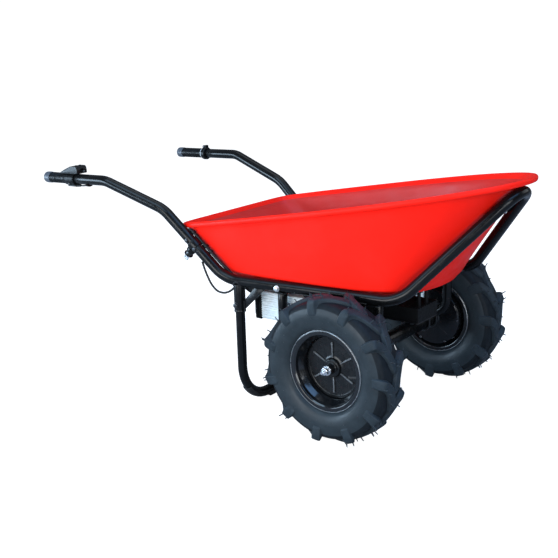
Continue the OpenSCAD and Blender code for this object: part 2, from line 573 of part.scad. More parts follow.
module controller_case() {
  place() color([0.55, 0.56, 0.58]) {
    translate(con[0]) difference() {
      cube(con[1]);
      translate([4, 4, -1]) cube([con[1][0] - 8, con[1][1] - 8, con[1][2] - 6]);
      for (k = [0 : 8]) translate([-1, 7 + k*11, con[1][2] - 3]) cube([con[1][0] + 2, 6, 4]);
    }
    for (i = [1, 2], y = [-41, 0]) translate([cross_x[i], y, con[0][2] + con[1][2] - 3.5]) cylinder(r = 5.5, h = cross_z[i] - cross_r[i] - con[0][2] - con[1][2] + 3.4);
  }
}
module controller_cover() {
  place() color([0.05, 0.05, 0.055]) translate([con[0][0], con[0][1], con[0][2] - 3.1]) {
    cube([con[1][0], con[1][1], 3]);
    for (x = [30, 60, 210, 240]) translate([x, 20, -9]) cylinder(r = 7, h = 9.1);
  }
}
module controller_board() {
  place() color([0.05, 0.3, 0.12]) translate([con[0][0] + 8, con[0][1] + 8, con[0][2] + 8]) {
    cube([con[1][0] - 16, con[1][1] - 16, 1.6]);
    for (k = [0 : 4]) translate([30 + 45*k, 30, 1.5]) cylinder(r = 8, h = 22);
    for (k = [0 : 7]) translate([18 + 28*k, 72, 1.5]) cube([14, 5, 15]);
  }
}

// ---------- hand controls, in the frame of the right or left hand bar ----------
module bar_frame(s) { place() translate(side(H0, s)) rotate([0, -atan2(H1[2] - H0[2], H1[0] - H0[0]), 0]) children(); }
module lathe_x() { rotate([0, 90, 0]) rotate_extrude() children(); }
gr = grip_d/2;
sr = stub_d/2 + 0.05;
module grip_body(l) {
  lathe_x() difference() {
    union() {
      translate([0, 14]) square([gr, l - 14]);
      intersection() { translate([0, 14]) scale([1, 1]) circle(gr); translate([0, 14 - gr]) square([gr, gr]); }
    }
    translate([-1, 3.9]) square([sr + 1, l]);
    for (k = [0 : floor((l - 40)/5)]) translate([gr - 0.9, 30 + 5*k]) square([2, 2]);
  }
}
module grip_right() { bar_frame(-1) color([0.06, 0.065, 0.07]) grip_body(57); }
module grip_left() {
  bar_frame(1) color([0.06, 0.065, 0.07]) {
    grip_body(122);
    translate([121.9, 0, 0]) rotate([0, 90, 0]) ring(gr + 1.5, sr, 4.5);
  }
}
module lock_collar() {
  bar_frame(1) color([0.04, 0.04, 0.045]) difference() {
    union() {
      translate([129, 0, 0]) rotate([0, 90, 0]) ring(22.5, sr, 14);
      translate([136, 0, 23]) cube([14, 16, 12], center = true);
    }
    translate([136, 0, 23]) cube([16, 2.5, 24], center = true);
    translate([136, 0, 25]) rotate([90, 0, 0]) cylinder(r = 2.1, h = 40, center = true);
  }
}
module throttle_sleeve() {
  bar_frame(-1) color([0.06, 0.065, 0.07]) lathe_x() difference() {
    translate([0, 58.5]) square([gr, 45]);
    translate([-1, 50]) square([sr + 1, 70]);
    translate([-1, 95]) square([17, 20]);
    for (k = [0 : 5]) translate([gr - 0.9, 62 + 5*k]) square([2, 2]);
  }
}
module throttle_spring() {
  bar_frame(-1) color([0.7, 0.7, 0.72]) for (x = [97, 99.4, 101.8]) translate([x, 0, 0]) rotate([0, 90, 0]) rotate_extrude() translate([13, 0]) circle(0.9);
}
module pod_outline() {
  polygon([[93, 18.4], [96, 23], [143, 41], [148, 42.5], [168, 42.5], [173, 39], [175, 31], [175, 18.6], [150, 17.6], [106, 17.6]]);
}
module pod_body() {
  bar_frame(-1) color([0.05, 0.055, 0.06]) difference() {
    union() {
      rotate([90, 0, 0]) linear_extrude(height = 42, center = true) pod_outline();
      intersection() {
        translate([105.3, 0, 0]) rotate([0, 90, 0]) cylinder(r = 20, h = 42);
        translate([100, -30, 0.1]) cube([60, 60, 30]);
      }
    }
    translate([90, 0, 0]) rotate([0, 90, 0]) cylinder(r = sr, h = 100);
    translate([148.8, 0, 0]) rotate([0, 90, 0]) cylinder(r = rt + 0.3, h = 60);
    // pocket for the direction lever
    translate([160, -6.2, 19.8]) cube([20, 12.4, 14]);
    translate([166, 0, 27]) rotate([90, 0, 0]) cylinder(r = 2.1, h = 34, center = true);
    // seat for the gauge lens on the sloping face
    pod_face() translate([8, -15, -1.4]) cube([36, 30, 4]);
    for (y = [-15.5, 15.5]) translate([126, y, -5]) cylinder(r = 2.05, h = 14);
  }
}
module pod_face() { translate([96, 0, 23]) rotate([0, -atan2(18, 47), 0]) children(); }
module gauge_lens() { bar_frame(-1) color([0.35, 0.42, 0.5]) pod_face() translate([8.1, -14.9, -1.35]) cube([35.8, 29.8, 2]); }
module pod_clamp() {
  bar_frame(-1) color([0.05, 0.055, 0.06]) difference() {
    union() {
      intersection() {
        translate([105.3, 0, 0]) rotate([0, 90, 0]) cylinder(r = 20, h = 42);
        translate([100, -30, -30]) cube([60, 60, 29.9]);
      }
      translate([112, -9, -24]) cube([34, 18, 8]);
      translate([140, 0, -20.5]) rotate([0, 90, 0]) cylinder(r1 = 5.5, r2 = 3.6, h = 24);
    }
    translate([90, 0, 0]) rotate([0, 90, 0]) cylinder(r = sr, h = 100);
    translate([148.8, 0, 0]) rotate([0, 90, 0]) cylinder(r = rt + 0.3, h = 60);
    for (y = [-15.5, 15.5]) translate([126, y, 0]) {
      translate([0, 0, -25]) cylinder(r = 2.05, h = 30);
      translate([0, 0, -25]) cylinder(r = 3.8, h = 13);
    }
  }
}
module direction_lever() {
  bar_frame(-1) color([0.04, 0.04, 0.045]) {
    translate([166, 0, 27]) rotate([90, 0, 0]) { cylinder(r = 5, h = 11.6, center = true); cylinder(r = 2.05, h = 33, center = true); }
    translate([167, -4, 25]) cube([21, 8, 4]);
    translate([187, -5, 24.4]) cube([4, 10, 5.2]);
  }
}
// key switch below the right handle joint
kd = unit([-slope[2], 0, slope[0]]);
KP = my(J - 4*slope);
module key_frame() { place() translate(KP) along([0, 0, 0], kd) children(); }
module key_bracket() {
  place() color([0.03, 0.03, 0.035]) {
    difference() {
      union() {
        along(my(J - 16*slope), my(J + 8*slope)) ring(rt + 2.6, rt + 0.1, norm(24*slope));
        translate(KP) along([0, 0, 0], kd) translate([0, 0, 16]) ring(14, 11.1, 12);
      }
      rail_holes();
      for (k = [-18, 18]) translate(my(J + k*slope)) rotate([90, 0, 0]) cylinder(r = 6.4, h = 60, center = true);
      along(my(J - 30*slope), my(J + 30*slope)) cylinder(r = rt + 0.1, h = norm(60*slope));
      rod(on_rail(110, loom_off), on_rail(176, loom_off), 5.8);
      translate(KP) along([0, 0, 0], kd) cylinder(r = 11.1, h = 60);
    }
  }
}
module key_switch_body() {
  key_frame() color([0.62, 0.63, 0.65]) difference() {
    union() {
      translate([0, 0, 20]) cylinder(r = 11, h = 20);
      translate([0, 0, 39.9]) cylinder(r = 14, h = 4);
    }
    translate([0, 0, 28]) cylinder(r = 7.05, h = 30);
  }
}
module key_barrel() {
  key_frame() color([0.7, 0.7, 0.72]) {
    translate([0, 0, 28.2]) cylinder(r = 7, h = 17);
    translate([-4, -1, 45.1]) cube([8, 2, 5]);
    translate([0, -1.2, 57]) rotate([-90, 0, 0]) difference() { cylinder(r = 9, h = 2.4); translate([0, -3, -1]) cylinder(r = 2.5, h = 5); }
  }
}

// ---------- wiring ----------
lo = unit([0.5*slope[2]/0.66, 0.66, -0.5*slope[0]/0.66]);
loom_off = 21.3;
function on_rail(k, d) = my(P3 + k*slope) + d*lo;
loom_pts = [on_rail(184, loom_off), on_rail(164, loom_off), on_rail(132, loom_off), on_rail(100, loom_off), on_rail(62, loom_off), [-420, -252, 426], [-402, -242, 404],
  [-389, -231, 384], [-376, -214, 360], [-364, -197, 341.5], [-353, -190.4, 335.6], [-344, -190, 335], [-336, -190, 335]];
loop_pts_c = [[-483.5, -273.5, 434.5], [-476, -273, 413], [-466, -272, 390], [-452, -271, 367], [-434, -269, 351], [-414, -267, 347],
  [-397, -264.5, 350.5], [-384, -262.8, 358], [-375, -261.6, 366]];
pod_pts = [[164, 0, -20.5], [172, 0, -20.6], [184, 0, -19.6], [196, 0, -18.8], [206, 0, -18.7]];
module wiring() {
  place() color([0.02, 0.02, 0.022]) { cable(loom_pts, 10, 3, 10); cable(loop_pts_c, 6.4, 3, 10); }
  bar_frame(-1) color([0.02, 0.02, 0.022]) cable(pod_pts, 5, 3, 10);
}
module clip(a, b, r) { along(a, b) ring(r + 2.2, r + 0.15, norm(b - a)); }
module loom_clips() {
  place() color([0.03, 0.03, 0.032]) difference() {
    for (k = [172, 115, 92]) clip(on_rail(k - 4, loom_off), on_rail(k + 4, loom_off), 5.2);
    rod(my(P3), my(H2), rt + 0.1);
  }
  bar_frame(-1) color([0.03, 0.03, 0.032]) translate([200, 0, 0]) rotate([0, 90, 0]) difference() {
    ring(rt + 6.2, rt + 0.1, 7);
    translate([-60, -60, -1]) cube([72, 120, 10]);
    translate([18.75, 0, -1]) cylinder(r = 2.9, h = 12);
  }
}

main_frame();
handle_tube_right();
handle_tube_left();
handle_spigots();
cross_tubes();
nose_plate();
tub();
tub_fasteners();
stand_sleeves();
stand_leg();
stand_braces();
stand_shoes();
axle_cradle_right();
axle_cradle_left();
saddle_brackets();
frame_bolts();
axle_beam();
beam_u_bolts();
axle_shaft_right();
axle_shaft_left();
stator_right();
stator_left();
axle_nuts();
tyre_right();
rim_right();
motor_cover_right();
motor_back_right();
magnets_right();
bearings_right();
cover_screws_right();
valve_right();
tyre_left();
rim_left();
motor_cover_left();
motor_back_left();
magnets_left();
bearings_left();
cover_screws_left();
valve_left();
battery_case();
battery_caps();
battery_cells();
battery_straps();
controller_case();
controller_cover();
controller_board();
grip_right();
grip_left();
lock_collar();
throttle_sleeve();
throttle_spring();
pod_body();
pod_clamp();
gauge_lens();
direction_lever();
key_bracket();
key_switch_body();
key_barrel();
wiring();
loom_clips();
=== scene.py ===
import bpy
import bmesh
import math
import random
import numpy as np
from mathutils import Matrix, Vector


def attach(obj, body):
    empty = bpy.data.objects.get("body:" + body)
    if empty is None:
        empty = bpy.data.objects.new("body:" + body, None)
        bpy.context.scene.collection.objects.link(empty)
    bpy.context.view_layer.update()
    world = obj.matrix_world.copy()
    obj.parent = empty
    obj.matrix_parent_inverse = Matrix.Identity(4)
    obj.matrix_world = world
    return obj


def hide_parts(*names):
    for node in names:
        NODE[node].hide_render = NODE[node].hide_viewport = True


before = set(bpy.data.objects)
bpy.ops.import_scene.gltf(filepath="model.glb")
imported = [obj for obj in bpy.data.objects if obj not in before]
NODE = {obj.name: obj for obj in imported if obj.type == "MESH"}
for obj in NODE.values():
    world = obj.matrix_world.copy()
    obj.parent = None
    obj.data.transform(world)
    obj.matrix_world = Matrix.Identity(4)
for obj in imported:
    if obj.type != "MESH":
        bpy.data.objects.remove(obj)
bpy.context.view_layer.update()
rng = random.Random(7)

# All shapes below are in millimetres with x measured from the wheel axle; OFF moves them into the row frame.
OFF = np.array([344.5, 0.0, 0.0])
PI = math.pi


# ---------------------------------------------------------------- geometry kit
def vec(*a):
    return np.array(a, float)


def unit(v):
    v = np.asarray(v, float)
    return v / np.linalg.norm(v)


class Bag:
    """Collects closed shells of one piece."""

    def __init__(self):
        self.v = []
        self.f = []
        self.n = 0

    def add(self, shell, M=None):
        v, f = shell
        v = np.asarray(v, float)
        key = np.round(v, 4)
        _, first, inv = np.unique(key, axis=0, return_index=True, return_inverse=True)
        inv = np.asarray(inv).reshape(-1)
        v = v[first]
        if M is not None:
            v = M(v)
        for q in f:
            loop = []
            for i in q:
                k = int(inv[i])
                if k not in loop:
                    loop.append(k)
            if len(loop) > 2:
                self.f.append(tuple(k + self.n for k in loop))
        self.v.append(v)
        self.n += len(v)
        return self


def make(name, bag, body, material, replaces=(), angle=35, sub=0, bevel=0.0):
    v = (np.vstack(bag.v) + OFF) * 0.001
    me = bpy.data.meshes.new(name)
    me.from_pydata(v.tolist(), [], bag.f)
    bm = bmesh.new()
    bm.from_mesh(me)
    bmesh.ops.recalc_face_normals(bm, faces=bm.faces)
    bm.to_mesh(me)
    bm.free()
    me.polygons.foreach_set("use_smooth", [True] * len(me.polygons))
    me.set_sharp_from_angle(angle=math.radians(angle))
    me.update()
    ob = bpy.data.objects.new(name, me)
    bpy.context.scene.collection.objects.link(ob)
    me.materials.append(material)
    if bevel:
        m = ob.modifiers.new("edges", "BEVEL")
        m.width = bevel * 0.001
        m.segments = 2
        m.limit_method = "ANGLE"
        m.angle_limit = math.radians(40)
        m.harden_normals = False
    if sub:
        m = ob.modifiers.new("smooth", "SUBSURF")
        m.levels = sub
        m.render_levels = sub
    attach(ob, body)
    if replaces:
        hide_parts(*replaces)
    return ob


def grid(n, m, wrap_n=False, wrap_m=False):
    f = []
    for i in range(n if wrap_n else n - 1):
        a = i * m
        b = ((i + 1) % n) * m
        for j in range(m if wrap_m else m - 1):
            k = (j + 1) % m
            f.append((a + j, a + k, b + k, b + j))
    return f


def fillet(pts, rad, seg=8, closed=False):
    """Polyline with rounded corners; works in 2-D and 3-D."""
    pts = [np.asarray(p, float) for p in pts]
    n = len(pts)
    out = [] if closed else [pts[0]]
    for i in range(0 if closed else 1, n if closed else n - 1):
        a, b, c = pts[i - 1], pts[i], pts[(i + 1) % n]
        r = rad if np.isscalar(rad) else rad[i if closed else i - 1]
        u, w = a - b, c - b
        lu, lw = np.linalg.norm(u), np.linalg.norm(w)
        u, w = u / lu, w / lw
        ang = math.acos(max(-1.0, min(1.0, float(u @ w))))
        if r <= 0 or ang > PI - 0.02:
            out.append(b)
            continue
        t = r / math.tan(ang / 2)
        lim = 0.499 * min(lu, lw) if closed else 0.999 * min(lu, lw)
        if t > lim:
            t = lim
            r = t * math.tan(ang / 2)
        ctr = b + unit(u + w) * r / math.sin(ang / 2)
        s, e = b + u * t, b + w * t
        arc = PI - ang
        for k in range(seg + 1):
            q = k / seg
            out.append(ctr + ((s - ctr) * math.sin((1 - q) * arc) + (e - ctr) * math.sin(q * arc)) / math.sin(arc))
    if not closed:
        out.append(pts[-1])
    return np.array(out)


def catmull(pts, m, closed=False):
    P = np.asarray(pts, float)
    n = len(P)
    out = []
    for i in range(n if closed else n - 1):
        if closed:
            a, b, c, d = P[i - 1], P[i], P[(i + 1) % n], P[(i + 2) % n]
        else:
            a, b, c, d = P[max(0, i - 1)], P[i], P[i + 1], P[min(n - 1, i + 2)]
        for j in range(m):
            t = j / m
            out.append(0.5 * (2 * b + (c - a) * t + (2 * a - 5 * b + 4 * c - d) * t * t + (3 * b - a - 3 * c + d) * t ** 3))
    if not closed:
        out.append(P[-1])
    return np.array(out)


def dense(path, step):
    """Resample a polyline so that long straight runs get intermediate points."""
    P = np.asarray(path, float)
    out = [P[0]]
    for a, b in zip(P[:-1], P[1:]):
        k = max(1, int(math.ceil(np.linalg.norm(b - a) / step)))
        for j in range(1, k + 1):
            out.append(a + (b - a) * j / k)
    return np.array(out)


def frames(path, closed=False, ref=None):
    P = np.asarray(path, float)
    T = np.zeros_like(P)
    if closed:
        T = np.roll(P, -1, 0) - np.roll(P, 1, 0)
    else:
        T[1:-1] = P[2:] - P[:-2]
        T[0] = P[1] - P[0]
        T[-1] = P[-1] - P[-2]
    T /= np.linalg.norm(T, axis=1)[:, None]
    if ref is None:
        ref = vec(0, 0, 1) if abs(T[0][2]) < 0.9 else vec(1, 0, 0)
    N = np.zeros_like(P)
    n = np.asarray(ref, float)
    for i in range(len(P)):
        n = n - (n @ T[i]) * T[i]
        n = n / np.linalg.norm(n)
        N[i] = n
    return T, N, np.cross(T, N)


def sweep(path, section, closed=False, ref=None, scale=None):
    """section: (k,2) closed loop in the (normal, binormal) plane."""
    P = np.asarray(path, float)
    S = np.asarray(section, float)
    T, N, B = frames(P, closed, ref)
    k = len(S)
    sc = np.ones(len(P)) if scale is None else np.asarray(scale, float)
    v = (P[:, None, :] + N[:, None, :] * (S[None, :, 0, None] * sc[:, None, None])
         + B[:, None, :] * (S[None, :, 1, None] * sc[:, None, None])).reshape(-1, 3)
    f = grid(len(P), k, wrap_n=closed, wrap_m=True)
    if not closed:
        f.append(tuple(range(k)))
        f.append(tuple((len(P) - 1) * k + i for i in range(k)))
    return v, f


def circle(r, n):
    t = np.arange(n) * 2 * PI / n
    return np.stack([r * np.cos(t), r * np.sin(t)], 1)


def tube(path, r, n=32, closed=False, ref=None, ease=0.0):
    """Round tube; ease rounds the two open ends off by that much."""
    P = np.asarray(path, float)
    if np.isscalar(r):
        sc = np.ones(len(P))
        if ease and not closed:
            u0, u1 = unit(P[1] - P[0]), unit(P[-2] - P[-1])
            P = np.vstack([P[0], P[0] + u0 * ease * 0.3, P[0] + u0 * ease, P[1:-1], P[-1] + u1 * ease, P[-1] + u1 * ease * 0.3, P[-1]])
            sc = np.ones(len(P))
            sc[0] = sc[-1] = (r - ease) / r
            sc[1] = sc[-2] = (r - ease * 0.3) / r
        return sweep(P, circle(r, n), closed, ref, sc)
    return sweep(P, circle(1.0, n), closed, ref, r)


def lathe(prof, n=72, closed=True, a0=0.0):
    """(r, z) profile turned about local z. Open profiles begin and end on the axis."""
    p = np.asarray(prof, float)
    t = a0 + np.arange(n) * 2 * PI / n
    v = np.stack([p[None, :, 0] * np.cos(t)[:, None], p[None, :, 0] * np.sin(t)[:, None],
                  np.repeat(p[None, :, 1], n, 0)], -1).reshape(-1, 3)
    return v, grid(n, len(p), wrap_n=True, wrap_m=closed)


def turned(pts, rad, n=72, seg=4):
    """Solid turned part: profile from axis to axis with rounded corners."""
    return lathe(fillet(pts, rad, seg), n, closed=False)


def hollow(pts, rad, n=72, seg=4):
    return lathe(fillet(pts, rad, seg, closed=True), n, closed=True)


def from_bm(bm):
    bm.verts.index_update()
    v = np.array([q.co[:] for q in bm.verts], float)
    f = [tuple(q.index for q in face.verts) for face in bm.faces]
    bm.free()
    return v, f


def prism(poly, h0, h1, bev=1.0, seg=2):
    """Closed 2-D outline extruded along local z with all edges rounded."""
    bm = bmesh.new()
    lo = [bm.verts.new((p[0], p[1], h0)) for p in poly]
    hi = [bm.verts.new((p[0], p[1], h1)) for p in poly]
    n = len(poly)
    bm.faces.new(lo[::-1])
    bm.faces.new(hi)
    for i in range(n):
        j = (i + 1) % n
        bm.faces.new((lo[i], lo[j], hi[j], hi[i]))
    bm.normal_update()
    if bev:
        bmesh.ops.bevel(bm, geom=list(bm.edges), offset=bev, offset_type="OFFSET", segments=seg, profile=0.5, affect="EDGES", clamp_overlap=True)
    return from_bm(bm)


def slab(poly, h0, h1, r, seg=5):
    """Outline extruded from a flat end at h0 to a rounded end at h1."""
    poly = np.asarray(poly, float)
    t = np.roll(poly, -1, 0) - np.roll(poly, 1, 0)
    t /= np.linalg.norm(t, axis=1)[:, None]
    out = np.stack([t[:, 1], -t[:, 0]], 1)
    nx = np.roll(poly, -1, 0)
    if np.sum(poly[:, 0] * nx[:, 1] - nx[:, 0] * poly[:, 1]) < 0:
        out = -out
    s = 1.0 if h1 > h0 else -1.0
    rings = [np.column_stack([poly, np.full(len(poly), h0)])]
    for a in np.linspace(0, PI / 2, seg + 1):
        rings.append(np.column_stack([poly - out * r * (1 - math.cos(a)), np.full(len(poly), h1 - s * r * (1 - math.sin(a)))]))
    n = len(poly)
    f = grid(len(rings), n, wrap_m=True) + [tuple(range(n)), tuple((len(rings) - 1) * n + i for i in range(n))]
    return np.concatenate(rings), f


def block(lo, hi, bev=1.0, seg=2):
    lo, hi = np.minimum(lo, hi), np.maximum(lo, hi)
    v, f = prism([(lo[0], lo[1]), (hi[0], lo[1]), (hi[0], hi[1]), (lo[0], hi[1])], lo[2], hi[2], bev, seg)
    return v, f


def axes(p, d, up=(0, 0, 1)):
    """Map local (x, y, z) to a frame at p whose z axis is d and whose y axis is near up."""
    d = unit(d)
    up = np.asarray(up, float)
    if abs(d @ unit(up)) > 0.95:
        up = vec(1, 0, 0)
    a = unit(np.cross(up, d))
    b = np.cross(d, a)
    p = np.asarray(p, float)
    return lambda v: p + v[:, :1] * a + v[:, 1:2] * b + v[:, 2:3] * d


def hexnut(af, h, hole=0.0, both=True, n=72):
    """Hexagon with turned 30 degree chamfers; hole leaves a bore."""
    t = np.arange(n) * 2 * PI / n
    m = np.mod(t + PI / 6, PI / 3) - PI / 6
    hr = af / 2 / np.cos(m)
    rc = af * 0.485
    drop = np.maximum(0, hr - rc) * math.tan(PI / 6)
    rings = []
    inner = hole if hole else 0.0
    rings.append((np.full(n, inner), np.zeros(n)))
    rings.append((np.full(n, rc - 0.2), np.zeros(n)))
    if both:
        rings.append((hr - 0.02, drop * 0.999 + 0.02))
        rings.append((hr, drop + 0.25))
    else:
        rings.append((hr, np.full(n, 0.0)))
    rings.append((hr, h - drop - 0.25))
    rings.append((hr - 0.02, h - drop))
    rings.append((np.full(n, rc - 0.2), np.full(n, h)))
    if hole:
        rings.append((np.full(n, hole + 0.8), np.full(n, h)))
        rings.append((np.full(n, hole), np.full(n, h - 0.8)))
    else:
        rings.append((np.full(n, 0.0), np.full(n, h)))
    v = np.concatenate([np.stack([r * np.cos(t), r * np.sin(t), z], 1) for r, z in rings])
    return v, grid(len(rings), n, wrap_n=bool(hole), wrap_m=True)


def washer(ri, ro, z0, z1, n=64):
    return hollow([(ri, z0), (ro, z0), (ro, z1), (ri, z1)], 0.35, n, 3)


def thread(r, z0, z1, pitch=1.25, n=28, end=0.8):
    """Rod with a rolled thread and a chamfered end at z1."""
    zs = np.arange(z0, z1 - end, pitch / 5)
    t = np.arange(n) * 2 * PI / n
    rings = []
    for z in zs:
        ph = (z / pitch - t / (2 * PI)) % 1.0
        tri = np.abs(ph - 0.5) * 2
        rr = r - 0.55 * pitch * np.clip((tri - 0.12) / 0.76, 0, 1)
        rings.append(np.stack([rr * np.cos(t), rr * np.sin(t), np.full(n, z)], 1))
    for rr, z in ((r - 0.5 * pitch, z1 - end), (r - 0.55 * pitch - end * 0.6, z1), (0, z1)):
        rings.append(np.stack([rr * np.cos(t), rr * np.sin(t), np.full(n, z)], 1))
    rings.insert(0, np.stack([0 * t, 0 * t, np.full(n, z0)], 1))
    return np.concatenate(rings), grid(len(rings), n, wrap_n=False, wrap_m=True)


def capscrew(r, h, socket=0.5, n=48):
    """Socket cap head with a hexagon recess, sitting on z = 0."""
    t = np.arange(n) * 2 * PI / n
    m = np.mod(t + PI / 6, PI / 3) - PI / 6
    hx = r * socket / np.cos(m)
    one = np.ones(n)
    rings = [(0 * one, 0), (r * one, 0), (r * one, h - 0.5), ((r - 0.5) * one, h), (hx + 0.25, h), (hx, h - 0.25), (hx, h * 0.45), (0 * one, h * 0.35)]
    v = np.concatenate([np.stack([q * np.cos(t), q * np.sin(t), one * z], 1) for q, z in rings])
    return v, grid(len(rings), n, wrap_n=False, wrap_m=True)


def bead(curve, r=2.6, ripple=0.28, pitch=3.2, n=10):
    """Closed weld bead with overlapping scales along a closed curve."""
    P = np.asarray(curve, float)
    L = np.linalg.norm(np.roll(P, -1, 0) - P, axis=1)
    total = L.sum()
    m = max(24, int(total / 0.9))
    s = np.concatenate([[0], np.cumsum(L)])
    Q = np.vstack([P, P[:1]])
    u = np.arange(m) * total / m
    R = np.stack([np.interp(u, s, Q[:, k]) for k in range(3)], 1)
    k = max(3, round(total / pitch))
    ph = (u / total * k) % 1.0
    sc = r * (1 - ripple * ph)
    return sweep(R, circle(1.0, n), closed=True, scale=sc)


def bead_open(path, r=2.6, ripple=0.28, pitch=3.2, n=10):
    P = np.asarray(path, float)
    L = np.linalg.norm(P[1:] - P[:-1], axis=1)
    s = np.concatenate([[0], np.cumsum(L)])
    m = max(6, int(s[-1] / 0.9))
    u = np.linspace(0, s[-1], m)
    R = np.stack([np.interp(u, s, P[:, k]) for k in range(3)], 1)
    sc = r * (1 - ripple * ((u / pitch) % 1.0))
    e = np.minimum(1, np.minimum(u, s[-1] - u) / (1.5 * r) + 0.35)
    return sweep(R, circle(1.0, n), closed=False, scale=sc * e)


def tube_seam(c, d, r, C, D, R, n=64):
    """Where a round tube (point c, towards d) meets another tube (axis C, D)."""
    d, D = unit(d), unit(D)
    a = unit(np.cross(d, D) if np.linalg.norm(np.cross(d, D)) > 0.1 else vec(0, 0, 1))
    b = np.cross(d, a)
    out = []
    for k in range(n):
        t = 2 * PI * k / n
        p = c + r * (math.cos(t) * a + math.sin(t) * b)
        w = p - C
        w = w - (w @ D) * D
        e = d - (d @ D) * D
        qa, qb, qc = e @ e, 2 * w @ e, w @ w - R * R
        disc = max(0.0, qb * qb - 4 * qa * qc)
        s = (-qb - math.sqrt(disc)) / (2 * qa)
        out.append(p + s * d)
    return np.array(out)


# ---------------------------------------------------------------- materials
def tree(name):
    m = bpy.data.materials.new(name)
    m.use_nodes = True
    nt = m.node_tree
    return m, nt, nt.nodes, nt.links, nt.nodes["Principled BSDF"]


def mat(name, base, rough=0.4, metal=0.0, spec=0.5, coat=0.0, coat_rough=0.08, var=0.12, scale=18.0, detail=5.0,
        rvar=0.08, rscale=60.0, bump=0.0, bscale=900.0, dirt=None, dirt_amount=0.0, edge=None, edge_amount=0.0, mid=None, streak=None):
    """Principled surface with layered noise: colour drift, roughness patches, fine bump, dust in patches and rubbed edges."""
    m, nt, nd, ln, bs = tree(name)
    co = nd.new("ShaderNodeTexCoord")
    mp = nd.new("ShaderNodeMapping")
    ln.new(co.outputs["Object"], mp.inputs["Vector"])
    if streak:
        mp.inputs["Scale"].default_value = streak
    n1 = nd.new("ShaderNodeTexNoise")
    n1.inputs["Scale"].default_value = scale
    n1.inputs["Detail"].default_value = detail
    n1.inputs["Roughness"].default_value = 0.6
    ln.new(mp.outputs["Vector"], n1.inputs["Vector"])
    ramp = nd.new("ShaderNodeValToRGB")
    b = np.array(base, float)
    ramp.color_ramp.elements[0].position = 0.3
    ramp.color_ramp.elements[1].position = 0.7
    ramp.color_ramp.elements[0].color = (*np.clip(b * (1 - var), 0, 1), 1)
    ramp.color_ramp.elements[1].color = (*np.clip(b * (1 + var), 0, 1), 1)
    ln.new(n1.outputs["Fac"], ramp.inputs["Fac"])
    colour = ramp.outputs["Color"]
    if dirt is not None:
        n3 = nd.new("ShaderNodeTexNoise")
        n3.inputs["Scale"].default_value = scale * 0.45
        n3.inputs["Detail"].default_value = 8.0
        n3.inputs["Roughness"].default_value = 0.7
        ln.new(co.outputs["Object"], n3.inputs["Vector"])
        r3 = nd.new("ShaderNodeMapRange")
        r3.inputs["From Min"].default_value = 0.48
        r3.inputs["From Max"].default_value = 0.8
        r3.inputs["To Min"].default_value = 0.0
        r3.inputs["To Max"].default_value = dirt_amount
        ln.new(n3.outputs["Fac"], r3.inputs["Value"])
        mx = nd.new("ShaderNodeMixRGB")
        mx.inputs["Color2"].default_value = (*dirt, 1)
        ln.new(r3.outputs["Result"], mx.inputs["Fac"])
        ln.new(colour, mx.inputs["Color1"])
        colour = mx.outputs["Color"]
    if edge is not None:
        ge = nd.new("ShaderNodeNewGeometry")
        re = nd.new("ShaderNodeMapRange")
        re.inputs["From Min"].default_value = 0.52
        re.inputs["From Max"].default_value = 0.62
        re.inputs["To Max"].default_value = edge_amount
        ln.new(ge.outputs["Pointiness"], re.inputs["Value"])
        mu = nd.new("ShaderNodeMath")
        mu.operation = "MULTIPLY"
        mu.use_clamp = True
        n4 = nd.new("ShaderNodeTexNoise")
        n4.inputs["Scale"].default_value = 90.0
        n4.inputs["Detail"].default_value = 4.0
        ln.new(co.outputs["Object"], n4.inputs["Vector"])
        ln.new(re.outputs["Result"], mu.inputs[0])
        ln.new(n4.outputs["Fac"], mu.inputs[1])
        mx = nd.new("ShaderNodeMixRGB")
        mx.inputs["Color2"].default_value = (*edge, 1)
        ln.new(mu.outputs["Value"], mx.inputs["Fac"])
        ln.new(colour, mx.inputs["Color1"])
        colour = mx.outputs["Color"]
    ln.new(colour, bs.inputs["Base Color"])
    n2 = nd.new("ShaderNodeTexNoise")
    n2.inputs["Scale"].default_value = rscale
    n2.inputs["Detail"].default_value = 4.0
    ln.new(mp.outputs["Vector"], n2.inputs["Vector"])
    rr = nd.new("ShaderNodeMapRange")
    rr.inputs["From Min"].default_value = 0.3
    rr.inputs["From Max"].default_value = 0.7
    rr.inputs["To Min"].default_value = max(0.02, rough - rvar)
    rr.inputs["To Max"].default_value = min(1.0, rough + rvar)
    ln.new(n2.outputs["Fac"], rr.inputs["Value"])
    ln.new(rr.outputs["Result"], bs.inputs["Roughness"])
    bs.inputs["Metallic"].default_value = metal
    bs.inputs["Specular IOR Level"].default_value = spec
    bs.inputs["Coat Weight"].default_value = coat
    bs.inputs["Coat Roughness"].default_value = coat_rough
    if bump:
        nb = nd.new("ShaderNodeTexNoise")
        nb.inputs["Scale"].default_value = bscale
        nb.inputs["Detail"].default_value = 3.0
        ln.new(mp.outputs["Vector"], nb.inputs["Vector"])
        bp = nd.new("ShaderNodeBump")
        bp.inputs["Strength"].default_value = bump
        bp.inputs["Distance"].default_value = 0.001
        ln.new(nb.outputs["Fac"], bp.inputs["Height"])
        normal = bp.outputs["Normal"]
        if mid:
            nm = nd.new("ShaderNodeTexNoise")
            nm.inputs["Scale"].default_value = mid[0]
            nm.inputs["Detail"].default_value = 3.0
            ln.new(mp.outputs["Vector"], nm.inputs["Vector"])
            b2 = nd.new("ShaderNodeBump")
            b2.inputs["Strength"].default_value = mid[1]
            b2.inputs["Distance"].default_value = 0.002
            ln.new(nm.outputs["Fac"], b2.inputs["Height"])
            ln.new(normal, b2.inputs["Normal"])
            normal = b2.outputs["Normal"]
        ln.new(normal, bs.inputs["Normal"])
    return m


